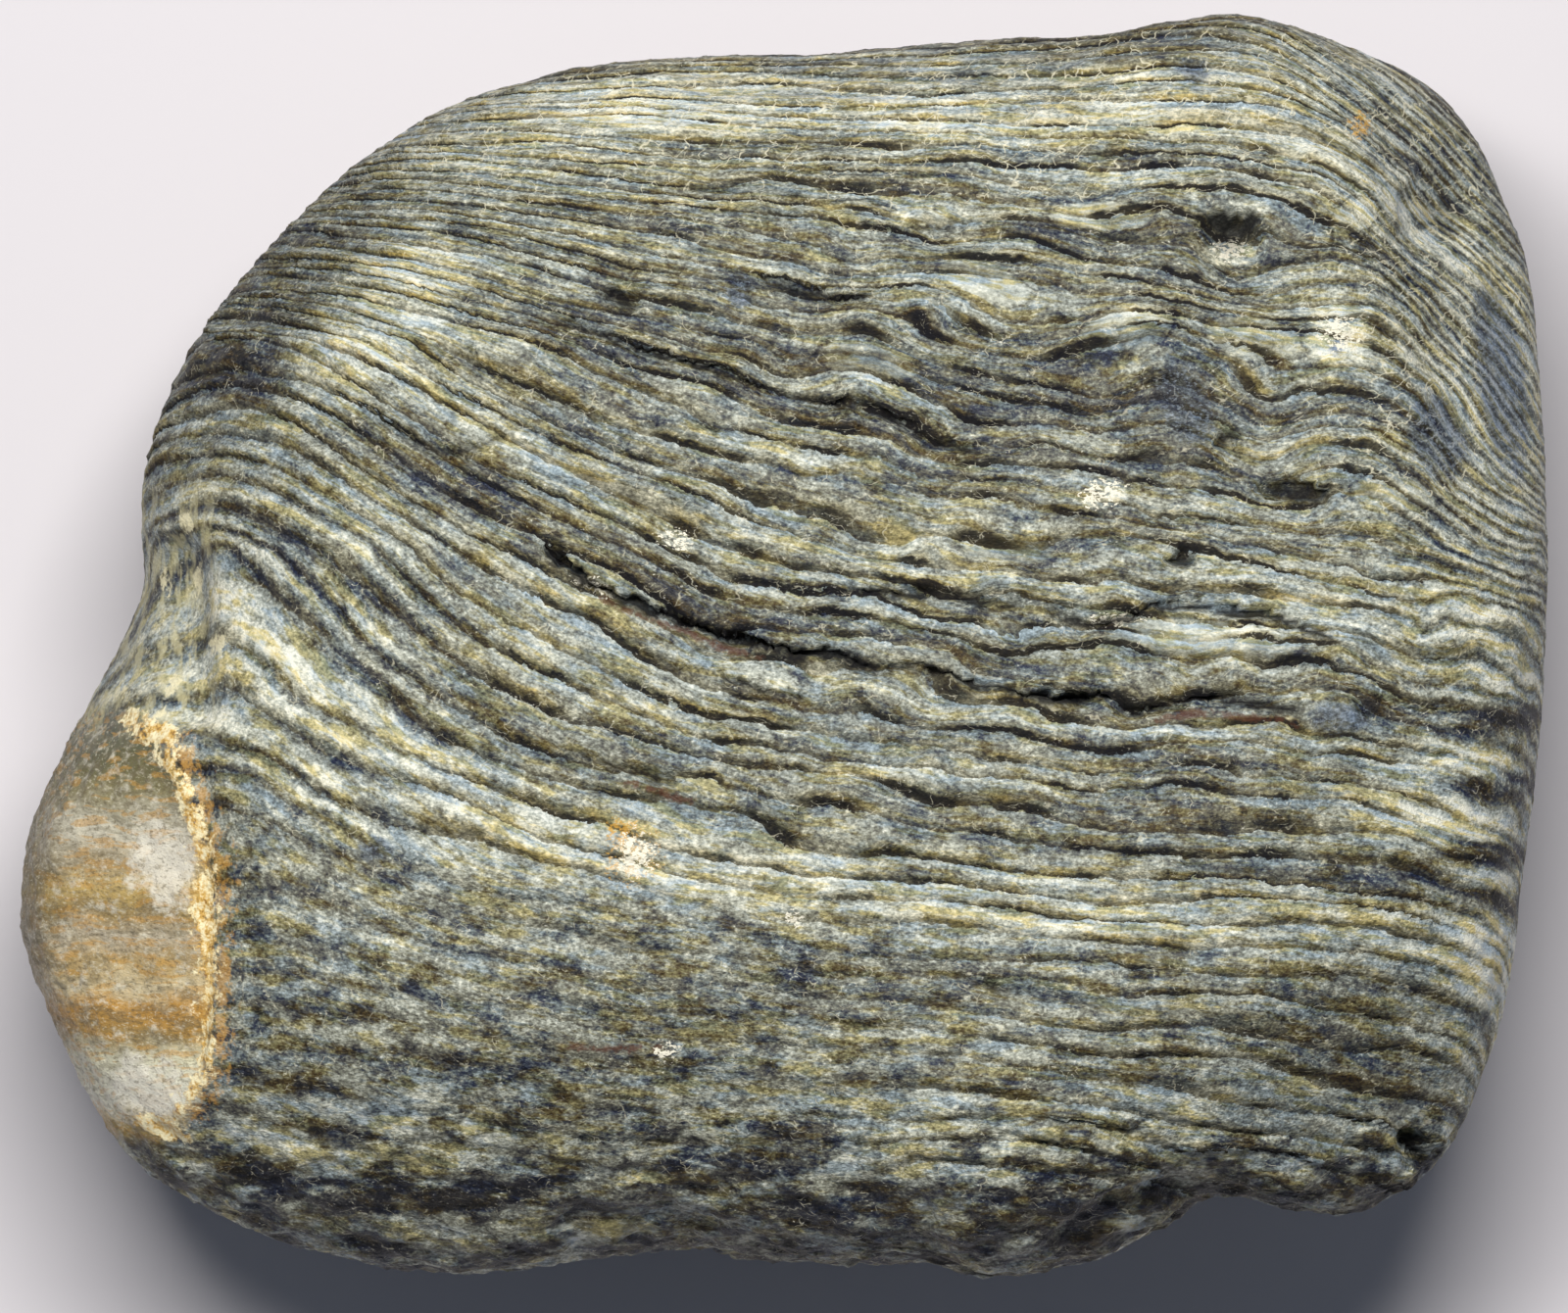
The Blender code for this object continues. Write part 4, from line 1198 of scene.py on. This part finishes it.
# %% Flakes, crystals, crumbs and stains
def flake_edges_and_glints(graph, place, noises):
    """Thin pale edges of flakes, partly painted glints where they catch the light: the borders of bent cells,
    where a noise lets them show.
    """
    bend = graph.add("ShaderNodeTexNoise", None, {"Vector": place, "Scale": 1.5, "Detail": 1.0}, output=1)
    bent = graph.add(
        "ShaderNodeVectorMath", {"operation": "MULTIPLY_ADD"}, {0: bend, 1: (0.8, 0.8, 0.8), 2: place}
    )
    height = graph.axis(bent, 2)
    leaned = bent / graph.vector(0.9, 0.50, 0.9) + graph.vector(height * 0.8, height * 0.7, 0.0)
    edge = graph.add(
        "ShaderNodeTexVoronoi", {"voronoi_dimensions": "2D", "feature": "DISTANCE_TO_EDGE"},
        {"Vector": leaned, "Scale": 1.0},
    )
    flaked = share_of(graph, "flaked")
    shown = graph.step(0.50, 0.62, noises["cloud"] + flaked * 0.06)
    return graph.step(0.06, 0.0, edge) * shown * (flaked * 0.35 + 0.48)


def mark_share(graph, name, start, end, strength, ragged):
    """How much of a mark shows: its painted share, broken up by noise, and none outside it."""
    painted = share_of(graph, name)
    return graph.step(start, end, painted * strength + ragged) * graph.step(0.0, 0.2, painted)


def with_marks(graph, colour, place, noises):
    fine, speck = noises["fine"], noises["speck"]
    coarse = noises["ragged"] - 0.5
    crumbly = (speck - 0.5) * 2.6 + coarse * 1.4
    # painted glints: bright specks scattered in clusters
    glint_clusters = graph.step(0.42, 0.62, noises["cloud"])
    colour = tint(graph, graph.step(0.66, 0.78, fine) * glint_clusters * 0.55, colour, MARKS["painted glint"])
    # pale flake edges, partly painted glints where they catch the light
    colour = tint(graph, flake_edges_and_glints(graph, place, noises), colour, MARKS["flake edge and glint"])
    blue_grey = mark_share(graph, "crystals", 0.15, 0.75, 1.0, coarse * 1.6)
    colour = tint(graph, blue_grey * 0.75, colour, WASHES["crystal blue"], "MULTIPLY")
    colour = tint(graph, blue_grey * graph.step(0.52, 0.66, speck) * 0.35, colour, MARKS["crystal"])
    ochre = mark_share(graph, "ochre", 0.30, 0.70, 0.6, crumbly)
    colour = tint(graph, ochre * 0.75, colour, MARKS["ochre"])
    rust = mark_share(graph, "rust", 0.35, 0.90, 1.0, coarse * 2.2)
    colour = tint(graph, rust * 0.75, colour, MARKS["rust"])
    crumbs = mark_share(graph, "crumbs", 0.50, 0.70, 0.7, (speck - 0.5) * 2.4)
    colour = tint(graph, crumbs, colour, MARKS["crumb"])
    # painted shade: the clefts and pits go near black inside
    return tint(graph, share_of(graph, "cleft") * 0.92, colour, MARKS["cleft"])


print("marks:", ", ".join(MARKS))

# %% [markdown]
# The flat at the left end cuts across clear chalcedony: grey, cream and orange bands, cloudy and
# soft-edged. FLAT_BANDS lists them from the flat's foot to its head, and FLAT_MARKS what lies on
# them, with a painted highlight high on the flat.

# %% The colour of the flat
FLAT_FOOT = -21.5
FLAT_LENGTH = 18.0
FLAT_BANDS = (
    (0.00, (124, 108, 66)), (0.05, (176, 146, 74)), (0.11, (224, 222, 202)),
    (0.22, (206, 202, 172)), (0.27, (150, 124, 74)), (0.33, (178, 134, 66)),
    (0.38, (206, 190, 152)), (0.44, (176, 150, 100)), (0.50, (184, 172, 148)),
    (0.56, (150, 128, 84)), (0.61, (196, 168, 104)), (0.68, (168, 152, 120)),
    (0.76, (198, 192, 172)), (0.85, (132, 124, 90)), (0.91, (104, 100, 68)),
    (1.00, (84, 88, 74)),
)
FLAT_MARKS = {
    "orange streak": (190, 144, 70),
    "dull streak": (118, 108, 84),
    # a painted highlight on the flat, and a pale patch
    "cloud": (196, 190, 168),
    "bleached": (232, 227, 212),
    "far side": (92, 84, 56),
    "dark speck": (100, 88, 64),
    "pale speck": (222, 214, 190),
}


def facet_colour(graph, place, noises):
    cloud, speck = noises["cloud"], noises["speck"]
    bend = (graph.noise(place, (2.2, 1.4, 2.2), 2.0, 0.6, 41.0) - 0.5) * 2.2
    height = graph.axis(place, 1) + bend
    up = (height - FLAT_FOOT) / FLAT_LENGTH
    bands = ramp(graph, FLAT_BANDS, up)
    streaked = place / (2.6, 0.34, 1.2) + graph.vector(0.0, bend, 0.0)
    streak = graph.noise(streaked, None, 2.0, 0.6, 46.0)
    bands = tint(graph, graph.step(0.52, 0.60, streak) * 0.55, bands, FLAT_MARKS["orange streak"])
    bands = tint(graph, graph.step(0.46, 0.38, streak) * 0.45, bands, FLAT_MARKS["dull streak"])
    bands = tint(graph, graph.step(0.48, 0.68, cloud) * 0.45, bands, FLAT_MARKS["cloud"])
    # painted highlight on the flat, with a pale patch, nearly white
    bleached = graph.step(0.1, 0.9, share_of(graph, "bleached") + (cloud - 0.5) * 2.4)
    bands = tint(graph, bleached * 0.75, bands, FLAT_MARKS["bleached"])
    aside = graph.axis(place, 0) + (cloud - 0.5) * 3.0
    bands = tint(graph, graph.step(-30.2, -32.8, aside) * 0.7, bands, FLAT_MARKS["far side"])
    bands = tint(graph, graph.step(0.48, 0.32, speck) * 0.55, bands, FLAT_MARKS["dark speck"])
    return tint(graph, graph.step(0.56, 0.68, speck) * 0.45, bands, FLAT_MARKS["pale speck"])


print(len(FLAT_BANDS), "bands on the flat")

# %% The pale threads above the flat, and the yellow crust along its edge
CRUST_TONES = ((0.38, (136, 94, 42)), (0.46, (218, 174, 88)), (0.57, (252, 240, 196)))


def with_crusts(graph, colour, place, noises):
    ragged = noises["ragged"]
    streaks = graph.noise(place, (0.5, 1.8, 1.5), 2.0, 0.7, 43.0)
    curtain = graph.step(0.46, 0.62, streaks) * share_of(graph, "curtain")
    colour = tint(graph, curtain * 0.6, colour, MARKS["curtain"])
    threads = mark_share(graph, "threads", 0.45, 0.85, 1.0, (ragged - 0.5) * 2.4)
    colour = tint(graph, threads * 0.8, colour, MARKS["thread"])
    halo = mark_share(graph, "halo", 0.45, 0.95, 0.8, (ragged - 0.5) * 3.0)
    colour = tint(graph, halo * 0.65, colour, MARKS["halo"])
    mottled = ragged * 0.8 + noises["speck"] * 0.2
    wander = (mottled - 0.5) * 2.6 + (noises["cloud"] - 0.5) * 2.4
    crust = mark_share(graph, "crust", 0.50, 0.95, noises["patches"] + 0.5, wander)
    crusty = ramp(graph, CRUST_TONES, mottled)
    return tint(graph, crust * 0.9, colour, crusty)


print(len(CRUST_TONES), "tones of crust")

# %% [markdown]
# The finish is satin. Grains finer than the mesh are a bump of BUMP_DISTANCE at most. The flat is a
# little smoother than the beds, and open dark seams are rougher.

# %% Put the finish together
BUMP_DISTANCE = 0.08
BED_ROUGHNESS = 0.58
SPECULAR_LEVEL = 0.3


def finish_stone(material):
    material.node_tree.nodes.clear()
    graph = Graph(material.node_tree)
    place = graph.add("ShaderNodeTexCoord", output=3) * (1000.0, 1000.0, 1000.0)
    pile = graph.add("ShaderNodeAttribute", {"attribute_name": "pile"}, output=1)
    noises = shared_noises(graph, place)
    colour, seam = stone_colour(graph, pile, place, noises)
    colour = with_marks(graph, colour, place, noises)
    facet = share_of(graph, "facet")
    colour = tint(graph, facet, colour, facet_colour(graph, place, noises))
    colour = with_crusts(graph, colour, place, noises)
    micro = graph.noise(place, (0.16, 0.11, 0.16), 2.0, 0.65, 45.0)
    height = micro * (1.0 - facet * 0.4)
    bump = graph.add(
        "ShaderNodeBump", None, {"Strength": 1.0, "Distance": BUMP_DISTANCE * MM, "Height": height}
    )
    open_dark = seam * (1.0 - facet) + share_of(graph, "cleft")
    roughness = BED_ROUGHNESS - facet * 0.12 + (micro - 0.5) * 0.3 + open_dark * 0.35
    surface = graph.add("ShaderNodeBsdfPrincipled", None, {
        "Base Color": colour,
        "Roughness": roughness,
        "Specular IOR Level": SPECULAR_LEVEL,
        "Normal": bump,
    })
    graph.add("ShaderNodeOutputMaterial", None, {"Surface": surface})


finish_stone(stone_material)
print(len(stone_material.node_tree.nodes), "nodes in the finish")

# %% [markdown]
# ## Handing it over
# The fine stone takes the place of the solid one, which stays behind for collisions.

# %% Put the stone in the scene
stone = bpy.data.objects.new("pebble", weathered_mesh)
bpy.context.scene.collection.objects.link(stone)
weathered_mesh.shade_smooth()
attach(stone, "root")
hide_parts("stone")
